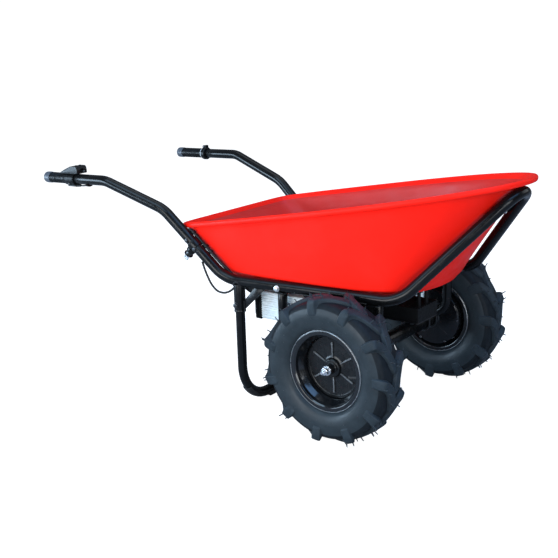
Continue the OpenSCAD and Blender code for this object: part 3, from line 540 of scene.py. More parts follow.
M_FRAME = mat("frame_black_paint", (0.0034, 0.0036, 0.0039), 0.2, spec=0.2, var=0.22, scale=30, rvar=0.09, rscale=45, bump=0.05, bscale=700,
              mid=(160, 0.05), dirt=(0.02, 0.0215, 0.023), dirt_amount=0.1, edge=(0.03, 0.032, 0.035), edge_amount=0.6)
M_WELD = mat("weld_bead_paint", (0.0055, 0.006, 0.0068), 0.33, spec=0.28, var=0.25, scale=120, bump=0.12, bscale=1400)
M_WEAR = mat("wear_shoe_black", (0.011, 0.0115, 0.0125), 0.6, spec=0.3, var=0.3, scale=60, bump=0.2, bscale=900, dirt=(0.07, 0.068, 0.064), dirt_amount=0.4)
M_TUB = mat("tub_red_poly", (0.88, 0.0112, 0.0048), 0.44, spec=0.1, var=0.035, scale=9, rvar=0.06, rscale=35, bump=0.05, bscale=1700,
            mid=(75, 0.06), dirt=(0.74, 0.03, 0.022), dirt_amount=0.3)
# Inside red, darker and paler than the outer red, pale patches included: painted shade and painted sheen inside the
# tub.
M_TUB_IN_SHADE_SHEEN = mat("tub_red_inside_painted_shade_sheen", (0.55, 0.0165, 0.0125), 0.44, spec=0.24, var=0.06, scale=7, rvar=0.08, rscale=30, bump=0.05, bscale=1700,
               mid=(75, 0.06), dirt=(0.52, 0.05, 0.042), dirt_amount=0.45)
M_ZINC = mat("zinc_plate", (0.62, 0.63, 0.63), 0.3, metal=1.0, var=0.12, scale=140, rvar=0.1, rscale=220, bump=0.04, bscale=1600)
M_STEEL = mat("bright_steel", (0.66, 0.67, 0.69), 0.2, metal=1.0, var=0.08, scale=90, rvar=0.07, rscale=300, bump=0.03, bscale=1500)
M_DARK = mat("dark_steel", (0.14, 0.142, 0.15), 0.36, metal=1.0, var=0.2, scale=80, rvar=0.1, rscale=200, bump=0.05, bscale=1200)
M_BOLT = mat("bolt_black_oxide", (0.03, 0.032, 0.035), 0.34, metal=0.7, var=0.25, scale=120, rvar=0.1, rscale=200, bump=0.05, bscale=1500, edge=(0.16, 0.165, 0.17), edge_amount=0.6)
M_COPPER = mat("copper_winding", (0.62, 0.26, 0.11), 0.35, metal=1.0, var=0.2, scale=120)
# Black tyre rubber; the blue cast of the tyre, gap and tread colours is a painted sky reflection.
M_TYRE = mat("tyre_rubber", (0.0172, 0.0234, 0.0278), 0.38, spec=0.16, var=0.18, scale=26, rvar=0.09, rscale=50, bump=0.1, bscale=1300,
             mid=(120, 0.06), dirt=(0.034, 0.043, 0.052), dirt_amount=0.25, edge=(0.075, 0.088, 0.1), edge_amount=0.5)
# Darker rubber for the ground between the lugs: painted shade in the recesses.
M_GAP_SHADE = mat("tread_gap_painted_shade", (0.0082, 0.0108, 0.0134), 0.5, spec=0.08, var=0.2, scale=40, bump=0.1, bscale=1300)
# Tread rubber, kept lighter than the sidewall and low in specular: painted sheen on the lug tops.
M_LUG_SHEEN = mat("tread_rubber_painted_sheen", (0.0205, 0.028, 0.034), 0.45, spec=0.07, var=0.25, scale=40, rvar=0.09, rscale=50, bump=0.12, bscale=1300,
            mid=(120, 0.08), dirt=(0.03, 0.033, 0.034), dirt_amount=0.35, edge=(0.06, 0.066, 0.072), edge_amount=0.5)
M_RIM = mat("rim_gloss_black", (0.004, 0.0046, 0.0055), 0.13, spec=0.45, coat=0.25, coat_rough=0.06, var=0.2, scale=40, rvar=0.04, rscale=50, bump=0.02, bscale=900,
            edge=(0.32, 0.34, 0.36), edge_amount=0.75)
# Bright metal band on the rim flange edge: a painted highlight.
M_LIP_HIGHLIGHT = mat("rim_edge_painted_highlight", (0.26, 0.275, 0.29), 0.34, metal=0.8, var=0.2, scale=90, rvar=0.1, rscale=150, bump=0.03, bscale=1200)
M_MOTOR = mat("motor_cover_black", (0.0045, 0.005, 0.0056), 0.27, spec=0.3, var=0.25, scale=60, rvar=0.08, rscale=70, bump=0.08, bscale=1100)
M_BACK = mat("motor_back_gloss", (0.0045, 0.005, 0.006), 0.15, spec=0.4, coat=0.1, var=0.2, scale=50, rvar=0.05, rscale=60, bump=0.03, bscale=900)
# Grey on the raised cover ribs: a painted highlight.
M_RIB_HIGHLIGHT = mat("rib_painted_highlight_grey", (0.085, 0.091, 0.098), 0.42, metal=0.25, var=0.2, scale=160, rvar=0.1, rscale=200, bump=0.08, bscale=1500)
M_VALVE = mat("valve_rubber", (0.012, 0.012, 0.013), 0.5, spec=0.4, var=0.2, scale=200, bump=0.05)
M_BATT = mat("battery_grey_case", (0.66, 0.73, 0.76), 0.4, metal=0.0, spec=0.5, var=0.05, scale=60, rvar=0.08, rscale=120, bump=0.05, bscale=1500)
M_CAP = mat("battery_cap_black", (0.007, 0.0075, 0.0085), 0.42, spec=0.3, var=0.2, scale=70, bump=0.12, bscale=1500)
M_CELL = mat("cell_wrap_blue", (0.06, 0.13, 0.38), 0.4, var=0.1, scale=80)
M_ALLOY = mat("controller_black_alloy", (0.0035, 0.0037, 0.004), 0.5, spec=0.12, metal=0.0, var=0.1, scale=90, rvar=0.1, rscale=150, bump=0.08, bscale=1600)
M_BOARD = mat("board_green", (0.02, 0.12, 0.045), 0.4, var=0.3, scale=200)
M_GRIP = mat("grip_rubber", (0.0042, 0.0046, 0.005), 0.34, spec=0.17, var=0.2, scale=60, rvar=0.1, rscale=80, bump=0.05, bscale=1500, edge=(0.024, 0.026, 0.029), edge_amount=0.35)
M_CTRL = mat("control_black", (0.0042, 0.0046, 0.005), 0.34, spec=0.2, var=0.18, scale=80, rvar=0.08, rscale=90, bump=0.1, bscale=1800)
M_GLASS = mat("gauge_window", (0.016, 0.0165, 0.022), 0.16, spec=0.3, coat=0.1, coat_rough=0.03, var=0.12, scale=40, rvar=0.02)
M_SWITCH = mat("switch_metal", (0.045, 0.047, 0.05), 0.3, metal=0.8, var=0.15, scale=150, rvar=0.1, rscale=250, bump=0.04, bscale=1500)
M_CABLE = mat("cable_black", (0.0055, 0.006, 0.0066), 0.42, spec=0.28, var=0.2, scale=120, bump=0.08, bscale=1200)
# Paler smooth band at the grip ends: a painted highlight.
M_TIP_HIGHLIGHT = mat("grip_end_painted_highlight", (0.062, 0.071, 0.086), 0.32, spec=0.3, var=0.1, scale=90, rvar=0.05, rscale=120, bump=0.03, bscale=1500)
M_RING = mat("grip_ring_grey", (0.34, 0.36, 0.38), 0.35, spec=0.5, var=0.12, scale=120, bump=0.05, bscale=1500)

for n, m in (("handle_spigots", M_DARK), ("battery_cells", M_CELL), ("controller_board", M_BOARD), ("throttle_spring", M_STEEL),
             ("stator_right", M_COPPER), ("stator_left", M_COPPER), ("magnets_right", M_DARK), ("magnets_left", M_DARK),
             ("bearings_right", M_STEEL), ("bearings_left", M_STEEL)):
    NODE[n].data.materials.clear()
    NODE[n].data.materials.append(m)

# ---------------------------------------------------------------- shared route of the frame
H0 = vec(-1113, 313, 646)
H1 = vec(-834, 313, 654.4)
H2 = vec(-618, 286, 581)
P3 = vec(-403, 266, 391)
P4 = vec(152, 210, 391)
AP = vec(458.6, 0, 743.4)
SLOPE = unit(H2 - P3)
J = P3 + 143 * SLOPE
BAR = unit(H1 - H0)
RT, RL, TR, WR, BEAM = 16.0, 14.0, 205.0, 300.0, 22.5
RAIL_Z, CROSS_Z, TUB_Z, TUB_T = 391.0, 377.0, 394.0, 5.0


def side(p, s):
    return vec(p[0], s * p[1], p[2])


def rail_y(x):
    return P3[1] + (x - P3[0]) / (P4[0] - P3[0]) * (P4[1] - P3[1])


POST_X = (-213.0, 80.0)
CR = (rail_y(POST_X[0]) - 9, rail_y(POST_X[1]) - 24)


def cr_y(x):
    return CR[0] + (x - POST_X[0]) / (POST_X[1] - POST_X[0]) * (CR[1] - CR[0])


def wheel(s):
    """Wheel frame: local z outwards from the centre plane of the wheel."""
    return lambda v: np.stack([v[:, 0], s * (WR + v[:, 2]), TR - s * v[:, 1]], 1)


BA = math.atan2(H1[2] - H0[2], H1[0] - H0[0])


def bar(s):
    """Hand bar frame: local x forward along the bar."""
    e = vec(math.cos(BA), 0, math.sin(BA))
    u = vec(-math.sin(BA), 0, math.cos(BA))
    p = side(H0, s)
    return lambda v: p + v[:, :1] * e + v[:, 1:2] * vec(0, 1, 0) + v[:, 2:3] * u


def along_x(shell):
    """Turn a part made about local z so that its axis is local x of the hand bar."""
    v, f = shell
    return np.stack([v[:, 2], v[:, 1], -v[:, 0]], 1), f


# ---------------------------------------------------------------- frame tubes
def build_frame():
    loop = fillet([side(J, -1), side(P3, -1), side(P4, -1), AP, P4, P3, J], [120, 110, 64, 110, 120], 18)
    b = Bag().add(tube(dense(loop, 60), RT, 40, ease=0.8))
    make("main_loop", b, "chassis", M_FRAME, ["main_frame"])
    for s, n in ((-1, "right"), (1, "left")):
        path = fillet([side(H0 + BAR * 150, s), side(H1, s), side(H2, s), side(J + 0.3 * SLOPE, s)], [90, 120], 18)
        b = Bag().add(tube(dense(path, 60), RT, 40, ease=1.2))
        b.add(tube([side(H0 + BAR * 4, s), side(H0 + BAR * 80, s), side(H0 + BAR * 156, s)], 11, 32, ease=0.8))
        make("handle_tube_" + n + "_bent", b, "chassis", M_FRAME, ["handle_tube_" + n])
    # cross tubes
    b = Bag()
    w = Bag()
    for x in (-322, -130):
        y = rail_y(x) - 4
        b.add(tube([(x, -y, CROSS_Z), (x, 0, CROSS_Z), (x, y, CROSS_Z)], 14, 36, ease=0.5))
        for s in (-1, 1):
            D = side(P4, s) - side(P3, s)
            ring = tube_seam(vec(x, 0, CROSS_Z), vec(0, s, 0), 14, side(P3, s), D, RT)
            top = ring[ring[:, 2] > CROSS_Z - 0.5]
            w.add(bead_open(top[np.argsort(top[:, 0])], 2.4))
    # flat bar that carries the front of the tub
    for_bar = rail_y(118) - 14.5
    o = fillet([(100, -for_bar), (136, -for_bar + 1.8), (136, for_bar - 1.8), (100, for_bar)], 1.5, 3, closed=True)
    b.add(prism(o, RAIL_Z - 6, RAIL_Z, 0.8))
    for s in (-1, 1):
        for z in (RAIL_Z - 6.4, RAIL_Z + 0.4):
            w.add(bead_open([vec(102, s * (for_bar + 0.3), z), vec(134, s * (for_bar - 1.5), z)], 2.3))
    make("cross_tube_set", b, "chassis", M_FRAME, ["cross_tubes"])
    # stand sleeves under the rails
    sx, sy, sz = -354.0, rail_y(-354.0), 298.0
    b = Bag()
    for s in (-1, 1):
        b.add(hollow([(14.15, 0), (17.6, 0), (17.6, 4), (17.0, 6), (17.0, 84), (14.15, 84)], [0.5, 1.2, 0.8, 0.8, 0.5, 0.4], 56),
              lambda v, s=s: v + vec(sx, s * sy, sz))
        D = side(P4, s) - side(P3, s)
        w.add(bead(tube_seam(vec(sx, s * sy, sz), vec(0, 0, 1), 17, side(P3, s), D, RT), 2.6))
    make("stand_sleeve_set", b, "chassis", M_FRAME, ["stand_sleeves"])
    # braces
    b = Bag()
    for s in (-1, 1):
        poly = [(17.0, 306), (17.0, 334), (56, 377.5), (88, 377.5), (86, 372)]
        shell = prism(poly, -2.5, 2.5, 0.8)
        b.add(shell, lambda v, s=s: np.stack([sx + v[:, 0], s * sy - s * (v[:, 0] * 0.1) + v[:, 2], v[:, 1]], 1))
        for k in (-1, 1):
            w.add(bead_open([vec(sx + 16.6, s * sy - 1.5 * s + k * 2.6, 308), vec(sx + 16.6, s * sy - 1.5 * s + k * 2.6, 332)], 2.0))
            w.add(bead_open([vec(sx + 57, s * (sy - 5.5) + k * 3, 375.6), vec(sx + 85, s * (sy - 8.5) + k * 3, 375.6)], 2.0))
    make("stand_brace_set", b, "chassis", M_FRAME, ["stand_braces"])
    # stand leg
    pts = [(sx, -sy, 369), (sx, -sy, 17), (sx, sy, 17), (sx, sy, 369)]
    b = Bag().add(tube(dense(fillet(pts, [110, 110], 20), 50), RL, 36, ease=0.6))
    make("stand_leg_bent", b, "chassis", M_FRAME, ["stand_leg"])
    # shoes: wear blocks under the foot bar and strips round the bends
    b = Bag()
    for s in (-1, 1):
        yc = s * (sy - 140)
        t = np.linspace(PI * 1.08, PI * 1.92, 15)
        arc = [(14.15 * math.cos(a), 17 + 14.15 * math.sin(a)) for a in t]
        poly = [(-17, 12)] + [(-17, 1.5), (-15.5, 0), (15.5, 0), (17, 1.5)] + [(17, 12)] + [(p[0], p[1]) for p in arc[::-1]]
        b.add(prism(poly, -31, 31, 0.6), lambda v, yc=yc: np.stack([sx + v[:, 0], yc + v[:, 2], v[:, 1]], 1))
        # strip
        ctr = vec(sx, s * (sy - 110), 127)
        ang = np.radians(np.linspace(-89, -37, 27))
        path = [ctr + vec(0, s * 110 * math.cos(a), 110 * math.sin(a)) for a in ang]
        q = np.radians(np.linspace(-72, 72, 17))
        sec = [(16.9 * math.cos(a), 16.9 * math.sin(a)) for a in q] + [(14.15 * math.cos(a), 14.15 * math.sin(a)) for a in q[::-1]]
        T, N, B = frames(path, ref=vec(0, s * math.cos(ang[0]), math.sin(ang[0])))
        b.add(sweep(path, sec, ref=vec(0, s * math.cos(ang[0]), math.sin(ang[0]))))
    make("stand_shoe_set", b, "chassis", M_WEAR, ["stand_shoes"], angle=30)
    # cradles
    run_z = TR + BEAM + RL + 0.2
    top = RAIL_Z - RT - 4
    for s, n in ((-1, "right"), (1, "left")):
        pts = [(POST_X[0], s * CR[0], top), (POST_X[0], s * CR[0], run_z), (POST_X[1], s * CR[1], run_z), (POST_X[1], s * CR[1], top)]
        b = Bag().add(tube(dense(fillet(pts, [50, 50], 16), 50), RL, 36, ease=0.4))
        make("cradle_" + n + "_bent", b, "chassis", M_FRAME, ["axle_cradle_" + n])
        for k in (0, 1):
            t = np.arange(48) * 2 * PI / 48
            ring = np.stack([POST_X[k] + 14.6 * np.cos(t), s * CR[k] + 14.6 * np.sin(t), np.full(48, top - 0.6)], 1)
            w.add(bead(ring, 2.4))
    # saddle brackets: plate under the rail, tab up its inner side
    b = Bag()
    for s in (-1, 1):
        for x in POST_X:
            y = s * rail_y(x)
            b.add(prism(fillet([(-18, -40 * s), (18, -40 * s), (18, 12 * s), (-18, 12 * s)], 4, 4, closed=True), top + 0.2, top + 3.8, 0.5),
                  lambda v, x=x, y=y: v + vec(x, y, 0))
            tab = fillet([(-18, top + 0.5), (18, top + 0.5), (18, top + 27.5), (-18, top + 27.5)], [0.5, 0.5, 8, 8], 6, closed=True)
            yt = y - s * 18.8
            b.add(prism(tab, -2, 2, 0.5), lambda v, x=x, yt=yt: np.stack([x + v[:, 0], yt + v[:, 2], v[:, 1]], 1))
    make("saddle_bracket_set", b, "chassis", M_FRAME, ["saddle_brackets"])
    # nose plate
    A = math.radians(125.5)
    ex, ez = vec(math.cos(A), 0, -math.sin(A)), vec(math.sin(A), 0, math.cos(A))
    nose = vec(341.7, 0, 626)
    to_nose = lambda v: nose + v[:, :1] * ex + v[:, 1:2] * vec(0, 1, 0) + v[:, 2:3] * ez
    poly = fillet([(22, -76), (22, 76), (-22, 54), (-22, -54)], 3, 3, closed=True)
    b = Bag().add(prism(poly, 1.5, 5.5, 0.6), to_nose)
    make("nose_plate_cut", b, "chassis", M_FRAME, ["nose_plate"])
    for s in (-1, 1):
        for z in (1.2, 5.8):
            w.add(bead_open(to_nose(np.array([(20, s * 75.0, z), (-20, s * 55.0, z)])), 2.2))
    # axle beam
    b = Bag().add(turned([(0, -234), (22.5, -234), (22.5, 234), (0, 234)], [2.5, 2.5], 72, 6), lambda v: np.stack([v[:, 0], v[:, 2], TR + v[:, 1]], 1))
    for k in (-1, 1):
        b.add(hollow([(12, 234 - 3), (19, 234 - 3), (17, 237.5), (12, 237.5)], 0.8, 64), lambda v, k=k: np.stack([v[:, 0], k * v[:, 2], TR + v[:, 1]], 1))
    make("axle_beam_turned", b, "chassis", M_FRAME, ["axle_beam"])
    make("weld_beads", w, "chassis", M_WELD, (), angle=60)


# ---------------------------------------------------------------- fasteners
def build_fasteners():
    b, bright = Bag(), Bag()
    for s in (-1, 1):
        x = POST_X[0]
        F = axes((x, s * (rail_y(x) + RT + 2.2), RAIL_Z - 3), (0, s, 0))
        bright.add(hexnut(13, 5.5, both=False), F)
        bright.add(washer(4.2, 9, -1.6, 0), F)
        bright.add(turned([(0, -52), (4, -52), (4, 0.1), (0, 0.1)], [0.8, 0.1], 32), F)
        bright.add(hexnut(13, 6.5, hole=4.0), lambda v, F=F: F(v + vec(0, 0, -49.5)))
        F = axes((-354, s * (rail_y(-354) + RL + 3.2), 320), (0, s, 0))
        b.add(washer(4.2, 8.6, -0.2, 1.3), F)
        b.add(hexnut(13, 5.5, both=False), lambda v, F=F: F(v + vec(0, 0, 1.2)))
        b.add(turned([(0, -46), (4, -46), (4, 1.5), (0, 1.5)], [0.8, 0.1], 32), F)
        b.add(hexnut(13, 6.5, hole=4.0), lambda v, F=F: F(v + vec(0, 0, -44)))
        for k in (-18, 18):
            F = axes(side(J + k * SLOPE, s), (0, s, 0))
            b.add(washer(3.1, 6.2, RT - 0.6, RT + 0.5), F)
            b.add(hexnut(10, 4, both=False), lambda v, F=F: F(v + vec(0, 0, RT + 0.4)))
            b.add(turned([(0, -RT - 8), (3, -RT - 8), (3, RT + 0.6), (0, RT + 0.6)], [0.6, 0.1], 28), F)
            b.add(hexnut(10, 5, hole=3.0), lambda v, F=F: F(v + vec(0, 0, -RT - 5.4)))
    for y in (-15.5, 15.5):
        F = lambda v, y=y: bar(-1)(np.stack([126 + v[:, 0], y + v[:, 1], -12.2 - v[:, 2]], 1))
        b.add(capscrew(3.4, 3.4), F)
        b.add(turned([(0, -20), (2, -20), (2, 0.1), (0, 0.1)], [0.4, 0.1], 24), F)
    F = lambda v: bar(1)(np.stack([136 + v[:, 0], -8.1 - v[:, 2], 25 + v[:, 1]], 1))
    b.add(capscrew(3.5, 3.4), F)
    b.add(turned([(0, -18.2), (2, -18.2), (2, 0.1), (0, 0.1)], [0.4, 0.1], 24), F)
    b.add(hexnut(7, 3.1), lambda v: bar(1)(np.stack([136 + v[:, 0], 8.1 + v[:, 2], 25 + v[:, 1]], 1)))
    make("frame_bolt_set", b, "chassis", M_BOLT, ["frame_bolts"], angle=28)
    make("post_bolt_set", bright, "chassis", M_ZINC, (), angle=28)

    # U-bolts that hold the beam under the cradles
    b = Bag()
    for s in (-1, 1):
        c = vec(0, s * cr_y(0), TR)
        R = BEAM + 3.4
        for k in (-1, 1):
            pts = [c + vec(-R, k * 22, BEAM + 28 + 5)]
            for a in np.radians(np.linspace(180, 360, 29)):
                pts.append(c + vec(R * math.cos(a), k * 22, R * math.sin(a)))
            pts.append(c + vec(R, k * 22, BEAM + 28 + 5))
            b.add(tube(dense(pts, 20), 3, 20))
            for m in (-1, 1):
                F = lambda v, c=c, k=k, m=m: c + vec(m * R, k * 22, BEAM + 28) + v
                b.add(thread(3, 4.6, 14, 1.0, 20), F)
                b.add(washer(3.1, 6.4, 5.45, 6.6, 40), F)
                b.add(hexnut(10, 5, hole=2.9), lambda v, F=F: F(v + vec(0, 0, 6.6)))
        poly = fillet([(-35, -30), (35, -30), (35, 30), (-35, 30)], 7, 5, closed=True)
        b.add(prism(poly, BEAM + 28.4, BEAM + 33.4, 0.6), lambda v, c=c: v + c)
    make("u_bolt_set", b, "chassis", M_BOLT, ["beam_u_bolts"], angle=28)

    # tub bolts
    b = Bag()
    for x, y, r, zt in ((-322, 40, 14, CROSS_Z), (118, 26, 3, RAIL_Z - 3), (118, 56, 3, RAIL_Z - 3)):
        for s in (-1, 1):
            F = lambda v, x=x, y=y, s=s: v + vec(x, s * y, 0)
            b.add(turned([(0, TUB_Z + 5.05), (11, TUB_Z + 5.05), (11, TUB_Z + 6.5), (8.2, TUB_Z + 6.6), (7.4, TUB_Z + 9.2), (4, TUB_Z + 10.6), (0, TUB_Z + 10.8)],
                         [0.4, 0.6, 0.3, 1.5, 2.0], 48), F)
            b.add(thread(4, zt - r - 12, TUB_Z + 5, 1.25, 24), lambda v, F=F, a=(zt - r - 12 + TUB_Z + 5): F(v * vec(1, 1, -1) + vec(0, 0, a)))
            b.add(hollow([(4.1, zt + r - (1.5 if r > 5 else -0.05)), (11, zt + r - (1.5 if r > 5 else -0.05)), (11, TUB_Z - 0.05), (4.1, TUB_Z - 0.05)], 0.4, 48), F)
            b.add(washer(4.1, 8.5, zt - r - 1.7, zt - r - 0.2), F)
            b.add(hexnut(13, 6.6, hole=3.9), lambda v, F=F, a=zt - r - 8.5: F(v + vec(0, 0, a)))
    A = math.radians(125.5)
    ex, ez = vec(math.cos(A), 0, -math.sin(A)), vec(math.sin(A), 0, math.cos(A))
    nose = vec(341.7, 0, 626)
    F = lambda v: nose + v[:, :1] * ex + v[:, 1:2] * vec(0, 1, 0) + v[:, 2:3] * ez
    b.add(turned([(0, -5.2), (11, -5.2), (11, -6.7), (8.2, -6.8), (7.4, -9.1), (4, -10.5), (0, -10.7)], [0.4, 0.6, 0.3, 1.5, 2.0], 48), F)
    b.add(thread(4, -6, 17.5, 1.25, 24), F)
    b.add(washer(4.1, 8.5, 5.6, 7.1), F)
    b.add(hexnut(13, 6.6, hole=3.9), lambda v: F(v + vec(0, 0, 7.2)))
    make("tub_bolt_set", b, "chassis", M_ZINC, ["tub_fasteners"], angle=28)


# ---------------------------------------------------------------- tub
RIMC = [(-586, 0), (-586, 130), (-582, 224), (-553, 257), (-480, 271), (-340, 280), (-185, 281),
        (-34, 276), (116, 254), (238, 213), (340, 150), (399, 78), (420, 0)]
TOPC = [(-571, 0), (-571, 125), (-568, 215), (-541, 250), (-470, 263), (-340, 269), (-185, 270),
        (-36, 265), (108, 242), (224, 203), (314, 143), (365, 70), (381, 0)]
BOTC = [(-457, 0), (-457, 110), (-455, 195), (-433, 235), (-362, 249), (-255, 251), (-150, 247),
        (-50, 239), (45, 225), (130, 190), (172, 132), (192, 67), (198, 0)]
FOOTC = [(-450, 0), (-450, 110), (-448, 184), (-428, 220), (-358, 231), (-255, 228), (-150, 216),
         (-50, 206), (45, 195), (118, 170), (154, 121), (174, 62), (180, 0)]


def build_tub():
    m = 7

    def outline(p):
        full = list(p) + [(x, -y) for x, y in p[-2:0:-1]]
        return catmull(full, m, closed=True)

    def grow(o, d):
        t = np.roll(o, -1, 0) - np.roll(o, 1, 0)
        t /= np.linalg.norm(t, axis=1)[:, None]
        return o + d * np.stack([-t[:, 1], t[:, 0]], 1)

    def flat(o, z):
        return np.column_stack([o, np.full(len(o), z)])

    def tilt(o, dz):
        return np.column_stack([o, 540 + 0.1762 * (o[:, 0] + 568) + dz])

    def mix(a, c, t):
        return a * (1 - t) + c * t

    ft, bt, w, r = outline(FOOTC), outline(BOTC), outline(TOPC), outline(RIMC)
    o0, o1 = flat(bt, TUB_Z + 30), tilt(w, -26)
    i0, i1 = flat(grow(bt, -TUB_T), TUB_Z + 32), tilt(grow(w, -TUB_T), -24)
    spine = np.column_stack([np.clip(ft[:, 0], -330, 70), np.zeros(len(ft))])

    def floor(z, d, ts):
        e = grow(ft, d)
        return [flat(mix(spine, e, t), z) for t in ts]

    def below(a, c, z):
        """Ring where the straight wall through rings a and c, carried on downwards, reaches height z."""
        return mix(a, c, ((z - a[:, 2]) / (c[:, 2] - a[:, 2]))[:, None])

    f0, k0 = flat(ft, TUB_Z + 5), below(o0, o1, TUB_Z + 20)
    k1 = flat(grow(k0[:, :2], -2), TUB_Z + 16)
    g0, h0 = flat(grow(ft, -TUB_T), TUB_Z + 10), below(i0, i1, TUB_Z + 23)
    rings = floor(TUB_Z, -14, (0.0, 0.3, 0.6, 0.85))
    rings += [flat(mix(spine, grow(ft, -14), 0.95), TUB_Z), flat(grow(ft, -6), TUB_Z + 0.1), flat(grow(ft, -1.5), TUB_Z + 1.4), f0, mix(f0, k1, 0.35), mix(f0, k1, 0.75), k1, k0]
    rings += [o0] + [mix(o0, o1, t) for t in (0.12, 0.26, 0.42, 0.58, 0.74, 0.88, 0.96)] + [o1]
    rings += [tilt(mix(w, r, 0.22), -20.5), tilt(mix(w, r, 0.5), -14), tilt(mix(w, r, 0.8), -12.6), tilt(mix(w, r, 0.97), -14.2),
              tilt(grow(r, 2.4), -16.4), tilt(grow(r, 5.2), -15.6), tilt(grow(r, 6.9), -12), tilt(grow(r, 7.3), -7), tilt(grow(r, 6.0), -2.8),
              tilt(grow(r, 3.0), -0.4), tilt(grow(r, -0.5), -0.1), tilt(mix(w, r, 0.72), -2.2), tilt(mix(grow(w, -2), r, 0.45), -7.2),
              tilt(mix(grow(w, -TUB_T), r, 0.2), -14)]
    lip = len(rings) - 1
    rings += [i1] + [mix(i0, i1, t) for t in (0.96, 0.88, 0.74, 0.58, 0.42, 0.26, 0.12)] + [i0]
    rings += [h0, mix(h0, g0, 0.25), mix(h0, g0, 0.65), g0, flat(grow(ft, -TUB_T - 5), TUB_Z + TUB_T + 2), flat(grow(ft, -TUB_T - 14), TUB_Z + TUB_T + 0.2),
              flat(mix(spine, grow(ft, -TUB_T - 14), 0.94), TUB_Z + TUB_T)]
    rings += floor(TUB_Z + TUB_T, -TUB_T - 14, (0.85, 0.6, 0.3, 0.0))
    n = len(bt)
    v = np.concatenate(rings)
    b = Bag().add((v, grid(len(rings), n, wrap_n=False, wrap_m=True)))
    ob = make("tub_moulded", b, "chassis", M_TUB, ["tub"], angle=80, sub=1)
    # inner faces, from the inner edge of the lip down, take the darker, paler inside red: painted shade and painted
    # sheen inside the tub
    ob.data.materials.append(M_TUB_IN_SHADE_SHEEN)
    for k, poly in enumerate(ob.data.polygons):
        poly.material_index = 1 if k // n >= lip else 0


# ---------------------------------------------------------------- wheels
CARC = [(102, 33.9), (108, 33.95), (114.6, 34.0), (117.0, 37.0), (119.6, 41.4), (124, 45.2), (129, 47.8), (133, 49.3), (138, 50.8), (144, 52.2), (150, 53), (157, 53.2),
        (162, 52.9), (168, 52.0), (176, 50.2), (183.2, 47.2), (189.4, 42.0), (193, 33.5), (194.8, 19), (195.2, 0)]


def tyre_profile():
    half = catmull(CARC, 3)
    outer = np.vstack([half, half[-2::-1] * vec(1, -1)])
    inner = np.array([(102, -22), (112, -25), (124, -36), (136, -43), (150, -45), (165, -44), (176, -39), (182, -29), (183, 0)], float)
    inner = np.vstack([inner, inner[-2::-1] * vec(1, -1)])
    return np.vstack([outer, inner])


LUG = np.array([
    # base r, base w, top r, top w, sweep angle, half width of the top
    (158.5, 52.6, 159.5, 53.4, 0.0, 8.5),
    (161.5, 52.2, 163.0, 55.6, 0.0, 10.6),
    (167.0, 51.4, 171.0, 56.2, 0.0, 11.6),
    (173.5, 49.4, 183.0, 56.0, 0.1, 12.2),
    (179.5, 46.6, 195.0, 54.8, 0.3, 12.6),
    (184.5, 42.8, 202.6, 51.2, 0.8, 12.8),
    (187.8, 37.5, 203.7, 44.0, 1.7, 12.6),
    (189.3, 30.5, 203.9, 34.5, 3.4, 12.2),
    (190.2, 22.5, 204.0, 25.0, 6.6, 11.8),
    (190.6, 14.5, 204.0, 16.0, 11.2, 11.6),
    (190.8, 7.0, 204.0, 7.8, 17.0, 11.8),
    (190.9, 1.5, 203.9, 1.8, 22.2, 11.6),
    (190.9, -3.0, 203.6, -2.0, 26.2, 10.0),
    (190.8, -6.0, 196.0, -4.8, 28.4, 7.0)])


def lug_shell(half, a0, s):
    """One tread bar: starts on the sidewall, runs over the shoulder and sweeps to the middle."""
    t = np.linspace(0, len(LUG) - 1, 40)
    L = np.stack([np.interp(t, np.arange(len(LUG)), LUG[:, k]) for k in range(6)], 1)
    for _ in range(2):
        L[1:-1] = 0.25 * L[:-2] + 0.5 * L[1:-1] + 0.25 * L[2:]

    def put(r, w, a):
        q = s * np.radians(a0 + a)
        return np.stack([r * np.cos(q), r * np.sin(q), half * w], 1)

    base, top = put(L[:, 0] - 1.5, L[:, 1] * np.where(L[:, 0] < 186, 0.985, 1.0), L[:, 4]), put(L[:, 2], L[:, 3], L[:, 4])
    up = top - base
    h = np.linalg.norm(up, axis=1)
    up = up / h[:, None]
    mid = (base + top) / 2
    T = np.gradient(mid, axis=0)
    T /= np.linalg.norm(T, axis=1)[:, None]
    lat = np.cross(T, up)
    lat /= np.linalg.norm(lat, axis=1)[:, None]
    ht = L[:, 5]
    prof = [(1.0, 4.6, -0.05), (1.0, 3.4, 0.1), (1.0, 1.6, 0.45), (1.0, 0.5, 0.78), (1.0, -0.15, 0.9), (1.0, -1.2, 0.975), (1.0, -3.0, 1.0),
            (0.45, 0, 1.012)]
    rows = []
    for k, e, z in prof:
        rows.append(base + lat * (ht * k + e)[:, None] + up * (h * z)[:, None])
    rows.append(base + up * (h * 1.015)[:, None])
    for k, e, z in prof[::-1]:
        rows.append(base - lat * (ht * k + e)[:, None] + up * (h * z)[:, None])
    m = len(rows)
    v = np.stack(rows, 1).reshape(-1, 3)
    if half < 0:
        # the inner side runs close past the rail and the cradle
        v[:, 2] = np.maximum(v[:, 2], -np.interp(np.hypot(v[:, 0], v[:, 1]), [160, 171, 183, 190, 196, 205], [54.3, 53.8, 52.0, 51.0, 49.5, 47.9]))
    f = grid(len(t), m, wrap_m=True)
    f.append(tuple(range(m)))
    f.append(tuple((len(t) - 1) * m + i for i in range(m)))
    return (v, f), base, top, lat, up


